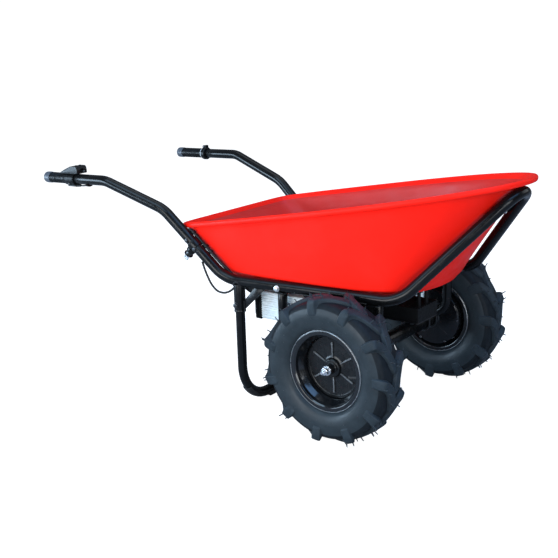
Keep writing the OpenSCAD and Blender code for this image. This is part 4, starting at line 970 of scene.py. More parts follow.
def build_wheels():
    for s, n in ((-1, "right"), (1, "left")):
        W = wheel(s)
        body = n + "_wheel"
        b, tread = Bag().add(lathe(tyre_profile(), 132), W), Bag()
        pitch = 360 / 11
        first = 1.5 if s < 0 else 21.9
        for k in range(11):
            for half in (1, -1):
                a0 = (k + (0.5 if half < 0 else 0)) * pitch - first
                shell, base, top, lat, up = lug_shell(half, a0, s)
                tread.add(shell, W)
                # moulding vent whiskers left on the lug edges
                for idx, sgn in ((15, 0.8), (18, -0.75), (24, 0.8), (30, 0.75), (33, -0.6)):
                    if rng.random() < 0.14 or (half < 0 and idx < 22):
                        continue
                    p = top[idx] + lat[idx] * sgn * 10.5
                    d = unit(up[idx] + 0.25 * vec(rng.uniform(-1, 1), rng.uniform(-1, 1), rng.uniform(-1, 1)))
                    ln = rng.uniform(7.5, 13.5)
                    tip = W((p + d * ln)[None, :])[0]
                    if tip[2] < 1.0:
                        continue
                    c = unit(np.cross(d, lat[idx])) * rng.uniform(-1.6, 1.6)
                    path = [p - d * 1.5, p + d * ln * 0.35 + c * 0.1, p + d * ln * 0.7 + c * 0.45, p + d * ln + c]
                    tread.add(tube(catmull(path, 3), np.linspace(1.9, 1.25, 10), 8), W)
        # small moulding pips between the lugs
        for k in range(22):
            for w in (24, -24):
                q = s * math.radians(k * pitch / 2 + (9 if w > 0 else 17))
                p = vec(190.3 * math.cos(q), 190.3 * math.sin(q), w)
                d = unit(vec(p[0], p[1], 0))
                b.add(turned([(0, -1), (1.9, -1), (1.9, 0.6), (0, 1.2)], [0.2, 0.8], 12, 3), lambda v, F=axes(p, d): W(F(v)))
        # and around the sidewalls
        for k in range(33):
            for w in (1, -1):
                q = 2 * PI * (k + 0.3 * (k % 2)) / 33
                r = (141, 150)[k % 2]
                p = vec(r * math.cos(q), r * math.sin(q), w * (51.3 if r < 145 else 52.9))
                b.add(turned([(0, -1), (1.3, -1), (1.3, 0.6), (0, 1.3)], [0.2, 0.6], 12, 3), lambda v, F=axes(p, vec(0, 0, w)): W(F(v)))
        ob = make("tyre_" + n + "_carcass", b, body, M_TYRE, ["tyre_" + n], angle=42)
        # the ground between the lugs takes a darker rubber: painted shade in the recesses between the lugs
        ob.data.materials.append(M_GAP_SHADE)
        xs, zs = [q.co.x for q in ob.data.vertices], [q.co.z for q in ob.data.vertices]
        cx, cz = (min(xs) + max(xs)) / 2, (min(zs) + max(zs)) / 2
        for poly in ob.data.polygons:
            poly.material_index = 1 if math.hypot(poly.center.x - cx, poly.center.z - cz) > 0.1795 else 0
        # tread bars in the lighter rubber: painted sheen on the lug tops
        make("tyre_" + n + "_tread", tread, body, M_LUG_SHEEN, (), angle=42)

        # rim: drop centre with rolled flanges
        pts = [(115.4, 37.2), (115.4, 34.2), (101.9, 34.2), (101.9, 23), (92, 8), (92, -12), (101.9, -19), (101.9, -34.2), (115.4, -34.2), (115.4, -37.2),
               (112.4, -38.6), (103, -38.6), (98.7, -34.5), (98.7, -21), (89.05, -14), (89.05, 10), (98.7, 25), (98.7, 34.5), (103, 38.6), (112.4, 38.6)]
        rad = [0.8, 0.4, 0.4, 3, 3, 3, 3, 0.4, 0.4, 0.8, 2, 3, 3, 4, 3, 3, 4, 3, 3, 2]
        b = Bag().add(hollow(pts, rad, 144, 5), W)
        make("rim_" + n + "_spun", b, body, M_RIM, ["rim_" + n], angle=30)
        # bright metal band on the flange edge: a painted highlight on the rolled flange
        b = Bag()
        for k in (1, -1):
            b.add(hollow([(114.0, k * 37.4), (115.8, k * 36.2), (115.8, k * 37.5), (114.3, k * 38.6), (113.4, k * 38.7), (113.4, k * 38.0)], 0.3, 144, 3), W)
        make("rim_" + n + "_edge", b, body, M_LIP_HIGHLIGHT, (), angle=50)

        # motor cover with drum, boss, hub and six radial ribs
        pts = [(82.2, -41.9), (88.7, -41.9), (88.7, -5.2), (86.6, -3.4), (80.5, -3.4), (79.0, -4.4), (33, -4.4), (27.5, -2.6), (25.2, 4.6), (22.4, 6.4), (15.6, 6.4), (14, 8),
               (14, 24.9), (13, 25.9), (8.5, 25.9), (8.5, -7.9), (82.2, -7.9)]
        rad = [0.4, 0.6, 1.2, 1.0, 0.8, 0.8, 4, 2, 1.6, 1.6, 1.0, 0.8, 0.4, 0.4, 0.3, 0.3, 0.4]
        b = Bag().add(hollow(pts, rad, 120, 4), W)
        make("motor_cover_" + n + "_disc", b, body, M_MOTOR, ["motor_cover_" + n], angle=30)
        # grey cover ribs: painted highlight on their raised tops
        b = Bag()
        for k in range(6):
            q = math.radians(60 * k + 32)
            out = fillet([(27.5, -1.5), (72.5, -2.3), (72.5, 2.3), (27.5, 1.5)], [1.2, 2.0, 2.0, 1.2], 5, closed=True)
            sh = prism(out, -4.6, -1.0, 0.7)
            b.add(sh, lambda v, q=q: W(np.stack([v[:, 0] * math.cos(q) - v[:, 1] * math.sin(q), v[:, 0] * math.sin(q) + v[:, 1] * math.cos(q), v[:, 2]], 1)))
        make("motor_ribs_" + n, b, body, M_RIB_HIGHLIGHT, (), angle=40)

        # domed inner cover
        pts = [(8.7, -62), (24.5, -62), (29, -59.3), (40, -57.8), (58, -55), (78, -49.4), (84.5, -47.4), (88.7, -45.6), (88.7, -42.1), (76, -42.1), (56, -50.5), (30, -53.5), (26, -47), (17.6, -47), (17.6, -59), (8.7, -59)]
        rad = [0.6, 1.6, 1.5, 6, 12, 8, 1.5, 1.2, 0.4, 1, 2, 1, 0.5, 0.4, 0.4, 0.4]
        b = Bag().add(hollow(pts, rad, 120, 5), W)
        for k in range(12):
            q = math.radians(30 * k + 15)
            out = fillet([(34, -1.6), (70, -1.6), (70, 1.6), (34, 1.6)], 1.4, 4, closed=True)
            sh = prism(out, 0, 1.0, 0.5)
            z = lambda r: np.interp(r, [30, 58, 78], [58.9, 55.0, 49.4])
            b.add(sh, lambda v, q=q: W(np.stack([v[:, 0] * math.cos(q) - v[:, 1] * math.sin(q), v[:, 0] * math.sin(q) + v[:, 1] * math.cos(q), -z(v[:, 0]) + 0.6 - v[:, 2] * 1.6], 1)))
        make("motor_back_" + n + "_dome", b, body, M_BACK, ["motor_back_" + n], angle=30)
        b = Bag()
        for k in range(6):
            q = math.radians(60 * k)
            F = lambda v, q=q: W(v * vec(1, 1, -1) + vec(85.5 * math.cos(q), 85.5 * math.sin(q), -47.9))
            b.add(capscrew(3.3, 3.2), F)
            b.add(turned([(0, -15), (2, -15), (2, 0.1), (0, 0.1)], [0.3, 0.1], 20), F)
        make("cover_screw_set_" + n, b, body, M_DARK, ["cover_screws_" + n], angle=28)
        # tyre valve
        d = unit(vec(-math.cos(math.radians(22)), 0, math.sin(math.radians(22))))
        b = Bag()
        b.add(turned([(0, -0.5), (4, -0.5), (4.2, 1), (6.2, 1.4), (5.2, 4), (3.7, 5.5), (3.7, 16), (0, 16)], [0.4, 0.5, 0.8, 1, 1, 0.8], 32), lambda v: W(axes((101.2, 0, 29), d)(v)))
        b.add(turned([(0, 15), (4.1, 15), (4.1, 24), (3.2, 26), (0, 26)], [0.6, 0.8, 0.8], 32), lambda v: W(axes((101.2, 0, 29), d)(v)))
        for k in range(14):
            q = 2 * PI * k / 14
            b.add(tube([(4.1 * math.cos(q), 4.1 * math.sin(q), z) for z in (16, 20, 23.5)], 0.45, 8), lambda v: W(axes((101.2, 0, 29), d)(v)))
        make("valve_" + n + "_stem", b, body, M_VALVE, ["valve_" + n], angle=30)
        # axle shaft
        b = Bag()
        b.add(turned([(0, -128), (7.5, -128), (7.5, -45.2), (11, -45), (11, -12), (7.5, -11.8), (7.5, 29), (0, 29)], [0.8, 0.2, 0.5, 0.5, 0.2, 0.5], 48), W)
        b.add(thread(6, 28.5, 51.9, 1.5, 36, 1.6), W)
        make("axle_shaft_" + n + "_turned", b, "chassis", M_STEEL, ["axle_shaft_" + n], angle=30)
    b = Bag()
    for s in (-1, 1):
        W = wheel(s)
        b.add(washer(7.6, 13.5, 26.3, 28.9), W)
        b.add(washer(6.1, 11, 29.05, 30.95), W)
        b.add(hexnut(19, 10, hole=5.6), lambda v: W(v + vec(0, 0, 31)))
    make("axle_nut_set", b, "chassis", M_STEEL, ["axle_nuts"], angle=28)


# ---------------------------------------------------------------- battery and controller
def build_power():
    y0, y1, z0, z1, x0, x1 = -215.0, -75.0, 272.0, 355.0, -311.0, -109.0
    # extruded case: fine rounded fins on both long sides
    zs = []
    k = 0
    left = [(y0 + 3, z0), (y0, z0 + 3)]
    while z0 + 6 + k * 7 + 3.8 < z1 - 3:
        z = z0 + 6 + k * 7
        left += [(y0, z - 0.5), (y0 + 0.4, z), (y0 + 2.3, z + 0.5), (y0 + 2.6, z + 1.9), (y0 + 2.3, z + 3.3), (y0 + 0.4, z + 3.8), (y0, z + 4.3)]
        k += 1
    left += [(y0, z1 - 3), (y0 + 3, z1)]
    right = [(y0 + y1 - p[0], p[1]) for p in left[::-1]]
    sec = np.array(left + right)
    n = len(sec)
    ctr = vec((y0 + y1) / 2, (z0 + z1) / 2)
    rings = []
    for x, g in ((x0, 1.2), (x0 + 1.2, 0), (x1 - 1.2, 0), (x1, 1.2)):
        q = sec - np.sign(sec - ctr) * g * 0.6
        rings.append(np.column_stack([np.full(n, x), q]))
    f = grid(4, n, wrap_m=True) + [tuple(range(n)), tuple(3 * n + i for i in range(n))]
    make("battery_case_finned", Bag().add((np.concatenate(rings), f)), "chassis", M_BATT, ["battery_case"], angle=30)
    # end caps
    b = Bag()
    for a, c in ((x0 - 24, x0 - 0.05), (x1 + 0.05, x1 + 19)):
        out = [(y0, z0 + 10), (y0 + 10, z0), (y1 - 10, z0), (y1, z0 + 10), (y1, z1), (y0, z1)]
        out = fillet(out, [2, 2, 2, 2, 5, 5], 4, closed=True)
        b.add(prism(out, a, c, 2.0, 3), lambda v: np.stack([v[:, 2], v[:, 0], v[:, 1]], 1))
        # lip where the cap meets the case
        xe = c - 3 if a < x0 - 1 else a + 3
        o2 = fillet([(y0 - 0.8, z0 + 9.7), (y0 + 9.7, z0 - 0.8), (y1 - 9.7, z0 - 0.8), (y1 + 0.8, z0 + 9.7), (y1 + 0.8, z1 + 0.8), (y0 - 0.8, z1 + 0.8)], [2, 2, 2, 2, 5, 5], 4, closed=True)
        b.add(prism(o2, xe - 2.6, xe + 2.6, 0.7), lambda v: np.stack([v[:, 2], v[:, 0], v[:, 1]], 1))
        # raised panel and screws on the outer face
        xf = a if a < x0 - 1 else c
        d = -1 if a < x0 - 1 else 1
        o3 = fillet([(y0 + 14, z0 + 15), (y1 - 14, z0 + 15), (y1 - 14, z1 - 13), (y0 + 14, z1 - 13)], 5, 5, closed=True)
        if d > 0:
            b.add(prism(o3, xf - 0.5, xf + 1.4, 0.6), lambda v: np.stack([v[:, 2], v[:, 0], v[:, 1]], 1))
        for y in (y0 + 8, y1 - 8):
            for z in (z0 + 14, z1 - 7):
                b.add(capscrew(3.2, 1.8), lambda v, y=y, z=z, xf=xf, d=d: np.stack([xf + d * v[:, 2], y + v[:, 0], z + v[:, 1]], 1))
    F = lambda v: np.stack([x0 - 24 - v[:, 2], -190 + v[:, 0], 335 + v[:, 1]], 1)
    b.add(hexnut(19, 4.5, hole=5.4), F)
    b.add(hollow([(5.3, 4), (8.6, 4), (8.6, 6.2), (7.2, 9.6), (5.3, 9.6)], [0.2, 0.5, 1, 0.8, 0.4], 48), F)
    make("battery_cap_set", b, "chassis", M_CAP, ["battery_caps"], angle=30)
    # strap frames with stand-offs to the cross tubes
    b = Bag()
    for x in (-322, -130):
        o = fillet([(y0 - 2, z0 - 2), (y1 + 2, z0 - 2), (y1 + 2, z1 + 2), (y0 - 2, z1 + 2)], 4.5, 6, closed=True)
        path = np.column_stack([np.full(len(o), x), o])
        sec = fillet([(-9, -1.5), (9, -1.5), (9, 1.5), (-9, 1.5)], 0.8, 3, closed=True)
        b.add(sweep(path, sec, closed=True, ref=vec(1, 0, 0)))
        for y in (-185, -105):
            b.add(turned([(0, z1 + 3.4), (7.6, z1 + 3.4), (7, z1 + 4.6), (7, CROSS_Z - 14.5), (8.4, CROSS_Z - 12), (0, CROSS_Z - 10)], [0.5, 1, 1, 0.5], 40), lambda v, x=x, y=y: v + vec(x, y, 0))
    make("battery_strap_set", b, "chassis", M_FRAME, ["battery_straps"], angle=30)
    # controller: heat-sink case, cover, glands
    c0, cs = vec(-142, -64, 288), vec(270, 110, 44)
    sec = [(0, 0), (cs[1], 0), (cs[1], cs[2] - 3)]
    top = [(cs[1], cs[2])]
    for k in range(8, -1, -1):
        a = 7 + k * 11
        top += [(a + 6.3, cs[2]), (a + 5.7, cs[2] - 3), (a + 0.3, cs[2] - 3), (a - 0.3, cs[2])]
    sec = [(2, 0), (cs[1] - 2, 0), (cs[1], 2), (cs[1], cs[2] - 1)] + [(cs[1] - 1, cs[2])] + top[1:] + [(1, cs[2]), (0, cs[2] - 1), (0, 2)]
    sec = np.array(sec)
    n = len(sec)
    ctr = vec(cs[1] / 2, cs[2] / 2)
    rings = []
    for x, g in ((0, 1.0), (1.0, 0), (cs[0] - 1.0, 0), (cs[0], 1.0)):
        q = sec - np.sign(sec - ctr) * g * 0.5
        rings.append(np.column_stack([np.full(n, x), q]) + c0)
    b = Bag().add((np.concatenate(rings), grid(4, n, wrap_m=True) + [tuple(range(n)), tuple(3 * n + i for i in range(n))]))
    for x, zt in ((-130, CROSS_Z - 14), (118, RAIL_Z - 6)):
        for y in (-41, 0):
            b.add(turned([(0, c0[2] + 40), (5.5, c0[2] + 40), (5.5, zt - 0.1), (0, zt - 0.1)], [0.5, 0.5], 40), lambda v, x=x, y=y: v + vec(x, y, 0))
    make("controller_case_finned", b, "chassis", M_ALLOY, ["controller_case"], angle=30)
    b = Bag()
    out = fillet([(-142, -64), (128, -64), (128, 46), (-142, 46)], 4, 4, closed=True)
    b.add(prism(out, c0[2] - 3.1, c0[2] - 0.1, 0.6))
    for x in (30, 60, 210, 240):
        F = lambda v, x=x: np.stack([c0[0] + x + v[:, 0], c0[1] + 20 + v[:, 1], c0[2] - 3.1 - v[:, 2]], 1)
        b.add(hexnut(14, 4, both=True), F)
        b.add(turned([(0, 3.5), (6, 3.5), (6, 6.5), (4.4, 9), (0, 9)], [0.4, 1, 0.8], 32), F)
    for x in (-136, 122):
        for y in (-58, 40):
            b.add(capscrew(3, 2), lambda v, x=x, y=y: np.stack([x + v[:, 0], y + v[:, 1], c0[2] - 3.1 - v[:, 2]], 1))
    make("controller_cover_plate", b, "chassis", M_CAP, ["controller_cover"], angle=30)


# ---------------------------------------------------------------- hand controls
def grip_profile(x_end, ribs_from, ribs_to, r=17.0, pitch=5.0):
    """Grip from its rounded end to x_end, ring ribs between two stations."""
    p = [(0, -3.0)]
    for a in np.radians(np.linspace(8, 90, 12)):
        p.append((r * math.sin(a) ** 0.9, 14 - 17 * math.cos(a)))
    p.append((r + 0.6, 17))
    p.append((r + 0.7, 20))
    p.append((r - 0.2, 23))
    x = ribs_from
    while x + pitch <= ribs_to + 0.01:
        p += [(r - 0.9, x + 0.2), (r - 1.0, x + 1.6), (r - 0.1, x + 2.2), (r, x + 3.4), (r - 0.1, x + pitch - 0.3)]
        x += pitch
    p += [(r - 0.2, x_end - 1.0), (r - 1.2, x_end), (11.1, x_end), (11.1, 3.9), (0, 3.9)]
    return p


def build_controls():
    R, L = bar(-1), bar(1)
    b = Bag().add(along_x(lathe(grip_profile(57, 30, 55), 64, closed=False)), R)
    make("grip_right_moulded", b, "chassis", M_GRIP, ["grip_right"], angle=40)
    p = grip_profile(121.5, 30, 115)
    b = Bag().add(along_x(lathe(p, 64, closed=False)), L)
    make("grip_left_moulded", b, "chassis", M_GRIP, ["grip_left"], angle=40)
    b = Bag().add(along_x(hollow([(11.1, 121.9), (18.6, 121.9), (18.6, 126.4), (11.1, 126.4)], [0.3, 1.2, 1.2, 0.3], 64)), L)
    make("grip_left_ring", b, "chassis", M_RING, (), angle=40)
    # paler bands round the grip ends: a painted highlight for the sky's reflection on the smooth ends
    b = Bag()
    for F in (R, L):
        b.add(along_x(hollow([(16.2, 6.5), (17.0, 6.5), (17.5, 9.5), (17.85, 15.5), (17.95, 26.0), (17.2, 30.0), (16.2, 30.0)], [0.2, 0.3, 0.6, 1.0, 0.6, 0.4, 0.2], 64)), F)
    make("grip_end_highlight_bands", b, "chassis", M_TIP_HIGHLIGHT, (), angle=40)
    # locking collar with ears
    b = Bag().add(along_x(hollow([(11.1, 129), (22.5, 129), (22.5, 143), (11.1, 143)], [0.4, 2, 2, 0.4], 72)), L)
    for k in (-1, 1):
        out = fillet([(129, 19), (143, 19), (143, 29), (129, 29)], [0.5, 0.5, 3, 3], 5, closed=True)
        b.add(prism(out, 1.25 * k, 8 * k, 0.8), lambda v: L(np.stack([v[:, 0], v[:, 2], v[:, 1]], 1)))
    make("lock_collar_split", b, "chassis", M_CTRL, ["lock_collar"], angle=35)
    # throttle sleeve
    p = [(11.1, 58.5), (15.8, 58.5), (16.8, 59.4)]
    x = 61.0
    while x < 90:
        p += [(16.1, x + 0.2), (16.0, x + 1.6), (16.9, x + 2.2), (17.0, x + 3.4), (16.9, x + 4.7)]
        x += 5
    p += [(17.0, 93), (17.0, 102.4), (16.2, 103.4), (15.2, 103.4), (15.2, 95), (11.1, 95)]
    b = Bag().add(along_x(lathe(p, 64, closed=True)), R)
    # grip bars along the sleeve so that its turn can be seen
    for k in range(6):
        q = 2 * PI * k / 6 + 0.4
        out = fillet([(63, -1.4), (90.5, -1.4), (90.5, 1.4), (63, 1.4)], 1.2, 4, closed=True)
        sh = prism(out, 16.0, 17.35, 0.4)
        b.add(sh, lambda v, q=q: R(np.stack([v[:, 0], v[:, 1] * math.cos(q) - v[:, 2] * math.sin(q), v[:, 1] * math.sin(q) + v[:, 2] * math.cos(q)], 1)))
    make("throttle_sleeve_ribbed", b, "throttle", M_GRIP, ["throttle_sleeve"], angle=40)

    # control pod: upper shell
    xz = lambda v: R(np.stack([v[:, 0], v[:, 2], v[:, 1]], 1))
    b = Bag()
    outline = [(93, 18.4), (96, 23), (143, 41), (148, 42.5), (168, 42.5), (173, 39), (175, 31), (175, 18.6), (150, 17.6), (106, 17.6)]
    cheek = fillet(outline, [2, 3, 6, 4, 5, 5, 3, 2, 2, 2], 5, closed=True)
    b.add(slab(cheek, -6.2, -21, 1.8), xz)
    b.add(slab(cheek, 6.2, 21, 1.8), xz)
    # middle of the shell, open at the rear where the direction lever swings
    core = outline[:6] + [(174.3, 33.8), (160, 33.8), (160, 19.8), (175, 19.8), (174.4, 18.6), (150, 17.6), (106, 17.6)]
    b.add(prism(fillet(core, [2, 3, 6, 4, 5, 5, 0.3, 0.3, 0.3, 0.3, 0.3, 2, 2], 5, closed=True), -6.2, 6.2, 0), xz)
    t = np.linspace(0, PI, 33)
    half = [(20 * math.cos(a), 20 * math.sin(a)) for a in t] + [(11.1 * math.cos(a), 11.1 * math.sin(a)) for a in t[::-1]]
    b.add(prism([(p[0], p[1] + 0.1) for p in half], 105.3, 147.3, 0.6), lambda v: R(np.stack([v[:, 2], v[:, 0], v[:, 1]], 1)))
    # raised bezel round the window, on the sloping face
    fa = math.atan2(18, 47)
    face = lambda v: R(np.stack([96 + v[:, 0] * math.cos(fa) - v[:, 2] * math.sin(fa), v[:, 1], 23 + v[:, 0] * math.sin(fa) + v[:, 2] * math.cos(fa)], 1))
    o = fillet([(6.4, -16.6), (45.6, -16.6), (45.6, 16.6), (6.4, 16.6)], 4, 5, closed=True)
    sec = fillet([(-1.1, -1.0), (1.1, -1.0), (1.1, 1.5), (-1.1, 1.5)], 0.6, 3, closed=True)
    b.add(sweep(np.column_stack([o, np.zeros(len(o))]), sec[:, ::-1], closed=True, ref=vec(0, 0, 1)), face)
    # two push buttons beside the window
    for y in (-8, 8):
        b.add(turned([(0, 0), (3.6, 0), (3.6, 2.2), (0, 2.8)], [0.2, 1.0], 32), lambda v, y=y: R(v + vec(158, y, 42.1)))
    make("pod_shell", b, "chassis", M_CTRL, ["pod_body"], angle=35)
    b = Bag()
    o = fillet([(7.9, -15.0), (44.1, -15.0), (44.1, 15.0), (7.9, 15.0)], 3, 5, closed=True)
    b.add(prism(o, -1.3, 0.75, 0.4, 2), face)
    make("gauge_window", b, "chassis", M_GLASS, ["gauge_lens"], angle=30)
    # lower clamp, strain relief
    b = Bag()
    t = np.linspace(PI, 2 * PI, 33)
    half = [(20 * math.cos(a), 20 * math.sin(a)) for a in t] + [(11.1 * math.cos(a), 11.1 * math.sin(a)) for a in t[::-1]]
    b.add(prism([(p[0], p[1] - 0.1) for p in half], 105.3, 147.3, 0.6), lambda v: R(np.stack([v[:, 2], v[:, 0], v[:, 1]], 1)))
    b.add(block((112, -9, -24), (146, 9, -18.5), 1.6, 3), R)
    p = [(0, 140)]
    for k in range(6):
        r = 5.5 - 0.32 * k
        p += [(r, 140.5 + 4 * k), (r, 142.6 + 4 * k), (r - 0.9, 143.2 + 4 * k), (r - 0.9, 144.2 + 4 * k)]
    p += [(3.2, 164.5), (0, 164.5)]
    b.add(along_x(lathe(p, 32, closed=False)), lambda v: R(v + vec(0, 0, -20.5)))
    make("pod_clamp_shell", b, "chassis", M_CTRL, ["pod_clamp"], angle=35)
    # direction lever
    b = Bag()
    b.add(turned([(0, -5.8), (5, -5.8), (5, 5.8), (0, 5.8)], [0.6, 0.6], 40), lambda v: R(np.stack([166 + v[:, 0], v[:, 2], 27 + v[:, 1]], 1)))
    out = fillet([(166, 24.8), (182, 25.0), (186, 24.4), (191, 24.4), (191, 29.6), (186, 29.6), (182, 28.9), (166, 29.2)], [0.2, 4, 3, 1.5, 1.5, 3, 4, 0.2], 4, closed=True)
    b.add(prism(out, -4.4, 4.4, 0.9, 3), lambda v: R(np.stack([v[:, 0], v[:, 2], v[:, 1]], 1)))
    for x in (187.2, 188.7, 190.0):
        b.add(tube([(x, -3.8, 29.5), (x, 0, 29.5), (x, 3.8, 29.5)], 0.45, 8), R)
    make("direction_lever_moulded", b, "direction_lever", M_CTRL, ["direction_lever"], angle=35)


# ---------------------------------------------------------------- key switch and wiring
def build_key():
    KD = unit(vec(-SLOPE[2], 0, SLOPE[0]))
    KP = side(J - 4 * SLOPE, -1)
    ex = unit(vec(-KD[2], 0, KD[0]))
    ey = np.cross(KD, ex)
    K = lambda v: KP + v[:, :1] * ex + v[:, 1:2] * ey + v[:, 2:3] * KD
    b = Bag()
    sl = side(SLOPE, -1)
    c0 = side(J - 16 * SLOPE, -1)
    ring = hollow([(16.1, 0), (18.7, 0), (18.7, 24), (16.1, 24)], [0.3, 0.9, 0.9, 0.3], 64)
    b.add(ring, axes(c0, sl))
    b.add(hollow([(11.1, 15.5), (14, 15.5), (14, 28), (11.1, 28)], [0.3, 0.6, 0.9, 0.3], 56), K)
    make("key_bracket_ring", b, "chassis", M_FRAME, ["key_bracket"], angle=35)
    b = Bag()
    b.add(hollow([(7.05, 20), (11, 20), (11, 39.4), (14, 39.6), (14, 42.6), (12.4, 44), (7.05, 44)], [0.2, 0.6, 0.3, 0.6, 0.8, 1.0, 0.4], 64), K)
    for k in range(28):
        q = 2 * PI * k / 28
        b.add(tube([(13.9 * math.cos(q), 13.9 * math.sin(q), z) for z in (40.2, 41.2, 42.2)], 0.5, 8), K)
    make("key_switch_case", b, "chassis", M_SWITCH, ["key_switch_body"], angle=30)
    b = Bag()
    b.add(turned([(0, 28.2), (6.98, 28.2), (6.98, 45.2), (0, 45.2)], [0.4, 0.7], 48), K)
    out = fillet([(-4, 45), (4, 45), (4, 49.5), (-4, 49.5)], 0.4, 2, closed=True)
    b.add(prism(out, -1, 1, 0.25), lambda v: K(np.stack([v[:, 0], v[:, 2], v[:, 1]], 1)))
    t = np.arange(48) * 2 * PI / 48
    o = [(9 * math.cos(a), 57 + 9 * math.sin(a)) for a in t]
    hole = [(2.5 * math.cos(a), 60 + 2.5 * math.sin(a)) for a in t]
    # bow as a flat ring: outer loop, inner loop, two faces
    rings = []
    for y, g in ((-1.2, 0.4), (-0.8, 0.0), (0.8, 0.0), (1.2, 0.4)):
        rings.append(np.array([(57 * 0 + (9 - g) * math.cos(a), y, 57 + (9 - g) * math.sin(a)) for a in t]))
    for y, g in ((1.2, 0.4), (0.8, 0.0), (-0.8, 0.0), (-1.2, 0.4)):
        rings.append(np.array([((2.5 + g) * math.cos(a), y, 60 + (2.5 + g) * math.sin(a)) for a in t]))
    b.add((np.concatenate(rings), grid(len(rings), 48, wrap_n=True, wrap_m=True)), K)
    make("key_in_barrel", b, "key", M_STEEL, ["key_barrel"], angle=30)

    # wiring
    LO = unit(vec(0.5 * SLOPE[2] / 0.66, 0.66, -0.5 * SLOPE[0] / 0.66))
    onr = lambda k, d: side(P3 + k * SLOPE, -1) + d * LO
    lf = 21.3
    loom = [onr(192, 12), onr(184, 19), onr(172, lf), onr(140, lf), onr(100, lf), onr(62, lf), (-420, -252, 426), (-402, -242, 404),
            (-389, -231, 384), (-376, -214, 360), (-364, -197, 341.5), (-353, -190.4, 335.6), (-344, -190, 335), (-336, -190, 335)]
    b = Bag()
    path = catmull(loom, 8)
    L = np.concatenate([[0], np.cumsum(np.linalg.norm(np.diff(path, axis=0), axis=1))])
    fine = np.arange(0, L[-1], 1.0)
    P = np.stack([np.interp(fine, L, path[:, k]) for k in range(3)], 1)
    b.add(sweep(P, circle(1.0, 18), scale=4.75 + 0.25 * np.cos(fine * 2 * PI / 4.0)))
    loop = [(-483.5, -273.5, 434.5), (-476, -273, 413), (-466, -272, 390), (-452, -271, 367), (-434, -269, 351), (-414, -267, 347),
            (-397, -264.5, 350.5), (-384, -262.8, 358), (-375, -261.6, 366)]
    b.add(tube(catmull(loop, 6), 3.2, 16))
    pod = [(164, 0, -20.5), (172, 0, -20.6), (184, 0, -19.6), (196, 0, -18.8), (206, 0, -18.7)]
    b.add(tube(catmull(pod, 6), 2.5, 14), bar(-1))
    make("wiring_leads", b, "chassis", M_CABLE, ["wiring"], angle=50)
    b = Bag()
    for k in (172, 115, 92):
        F = axes(onr(k - 4, lf), side(SLOPE, -1))
        b.add(hollow([(5.35, 0), (7.3, 0), (7.3, 8), (5.35, 8)], [0.2, 0.9, 0.9, 0.2], 40), F)
        d = -LO
        mid = onr(k, lf)
        G = axes(mid + d * 5.5, d, up=side(SLOPE, -1))
        b.add(block((-4, -4, -1), (4, 4, 3.2), 0.8), G)
    t = np.radians(np.linspace(-45, 45, 19))
    sec = [(22.0 * math.cos(a), 22.0 * math.sin(a)) for a in t] + [(16.15 * math.cos(a), 16.15 * math.sin(a)) for a in t[::-1]]
    b.add(prism(sec, 200, 207, 0.5), lambda v: bar(-1)(np.stack([v[:, 2], v[:, 1], -v[:, 0]], 1)))
    make("loom_clip_set", b, "chassis", M_CABLE, ["loom_clips"], angle=35)


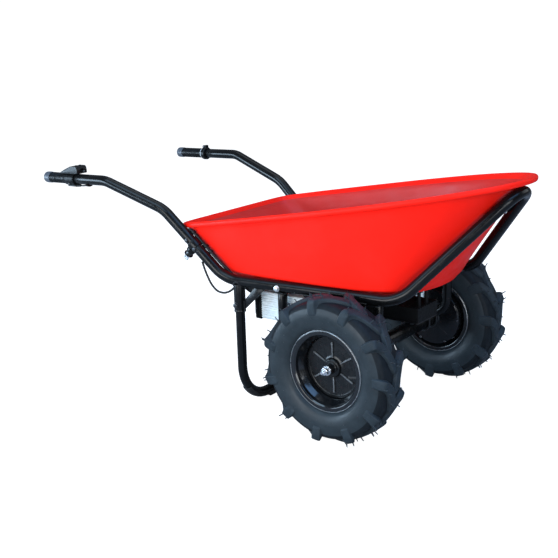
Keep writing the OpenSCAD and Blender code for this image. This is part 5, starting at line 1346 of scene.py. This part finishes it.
# ---------------------------------------------------------------- stage
def build_stage():
    me = bpy.data.meshes.new("floor")
    r, n = 400.0, 96
    v = [(0, 0, 0)] + [(r * math.cos(2 * PI * k / n), r * math.sin(2 * PI * k / n), 0) for k in range(n)]
    me.from_pydata(v, [], [(0, 1 + k, 1 + (k + 1) % n) for k in range(n)])
    ob = bpy.data.objects.new("floor", me)
    bpy.context.scene.collection.objects.link(ob)
    m, nt, nd, ln, bs = tree("floor_pale")
    bs.inputs["Base Color"].default_value = (0.5, 0.5, 0.5, 1)
    bs.inputs["Roughness"].default_value = 0.9
    bs.inputs["Specular IOR Level"].default_value = 0.1
    bs.inputs["Emission Color"].default_value = (1.0, 1.0, 1.0, 1)
    bs.inputs["Emission Strength"].default_value = 0.92
    dim = nd.new("ShaderNodeBsdfDiffuse")
    dim.inputs["Color"].default_value = (0.34, 0.35, 0.37, 1)
    path = nd.new("ShaderNodeLightPath")
    mx = nd.new("ShaderNodeMixShader")
    ln.new(path.outputs["Is Camera Ray"], mx.inputs["Fac"])
    ln.new(dim.outputs["BSDF"], mx.inputs[1])
    ln.new(bs.outputs["BSDF"], mx.inputs[2])
    ln.new(mx.outputs["Shader"], nd["Material Output"].inputs["Surface"])
    me.materials.append(m)

    world = bpy.data.worlds.new("studio")
    bpy.context.scene.world = world
    world.use_nodes = True
    nt = world.node_tree
    bg = nt.nodes["Background"]
    co = nt.nodes.new("ShaderNodeTexCoord")
    sep = nt.nodes.new("ShaderNodeSeparateXYZ")
    nt.links.new(co.outputs["Generated"], sep.inputs["Vector"])
    ramp = nt.nodes.new("ShaderNodeValToRGB")
    nt.links.new(sep.outputs["Z"], ramp.inputs["Fac"])
    e = ramp.color_ramp.elements
    e[0].position = 0.0
    e[0].color = (0.42, 0.45, 0.49, 1)
    e[1].position = 1.0
    e[1].color = (0.95, 1.05, 1.2, 1)
    k = e.new(0.25)
    k.color = (0.4, 0.45, 0.52, 1)
    k = e.new(0.6)
    k.color = (0.62, 0.7, 0.82, 1)
    nt.links.new(ramp.outputs["Color"], bg.inputs["Color"])
    bg.inputs["Strength"].default_value = 0.3
    pale = nt.nodes.new("ShaderNodeBackground")
    pale.inputs["Color"].default_value = (1.0, 1.0, 1.0, 1)
    pale.inputs["Strength"].default_value = 1.05
    path = nt.nodes.new("ShaderNodeLightPath")
    mx = nt.nodes.new("ShaderNodeMixShader")
    nt.links.new(path.outputs["Is Camera Ray"], mx.inputs["Fac"])
    nt.links.new(bg.outputs["Background"], mx.inputs[1])
    nt.links.new(pale.outputs["Background"], mx.inputs[2])
    nt.links.new(mx.outputs["Shader"], nt.nodes["World Output"].inputs["Surface"])

    def area(name, loc, target, size, power, colour=(1, 1, 1), size_y=None):
        li = bpy.data.lights.new(name, "AREA")
        li.energy = power
        li.color = colour
        li.shape = "RECTANGLE"
        li.size = size
        li.size_y = size_y or size
        o = bpy.data.objects.new(name, li)
        bpy.context.scene.collection.objects.link(o)
        o.location = loc
        o.rotation_euler = (Vector(target) - Vector(loc)).to_track_quat("-Z", "Y").to_euler()
        return o

    area("key", (0.0, -4.2, 1.0), (0, 0, 0.45), 3.2, 128, (0.94, 0.97, 1.0), 1.7)
    area("fill_front", (3.6, -2.4, 1.0), (0, 0, 0.45), 2.4, 78, (0.9, 0.955, 1.0), 1.7)
    area("rear_cool", (-2.7, -2.5, 0.6), (0, 0, 0.25), 2.0, 122, (0.6, 0.8, 1.0), 1.1)
    area("sky_front", (-0.8, -2.6, 3.4), (0, -0.2, 0.2), 2.2, 70, (0.5, 0.75, 1.0))
    area("top", (-0.3, 0.4, 4.0), (0, 0, 0.3), 3.0, 38, (0.88, 0.94, 1.0))
    area("sky_panel", (2.2, -0.7, 3.4), (0, -0.3, 0.2), 2.8, 105, (0.24, 0.52, 1.0))
    area("rim_side", (3.0, 3.0, 2.0), (0, 0, 0.4), 2.4, 25, (0.92, 0.96, 1.0))


def build_camera():
    cam = bpy.data.cameras.new("camera")
    ob = bpy.data.objects.new("camera", cam)
    bpy.context.scene.collection.objects.link(ob)
    R = Vector((0.79106675, 0.61097451, -0.03038972))
    U = Vector((-0.13627901, 0.22444335, 0.96491099))
    F = Vector((-0.59635679, 0.75916752, -0.26081268))
    m = Matrix.Identity(4)
    for i in range(3):
        m[i][0], m[i][1], m[i][2] = R[i], U[i], -F[i]
    m.translation = Vector((1.82809, -2.4120, 1.15575))
    ob.matrix_world = m
    cam.sensor_fit = "HORIZONTAL"
    cam.sensor_width = 36.0
    cam.lens = 64.903
    cam.clip_end = 1500
    bpy.context.scene.camera = ob


build_camera()
build_stage()
build_frame()
build_fasteners()
build_tub()
build_wheels()
build_power()
build_controls()
build_key()

sc = bpy.context.scene
sc.view_settings.view_transform = "Standard"
sc.view_settings.look = "None"
sc.view_settings.exposure = 0.0
sc.view_settings.gamma = 1.0
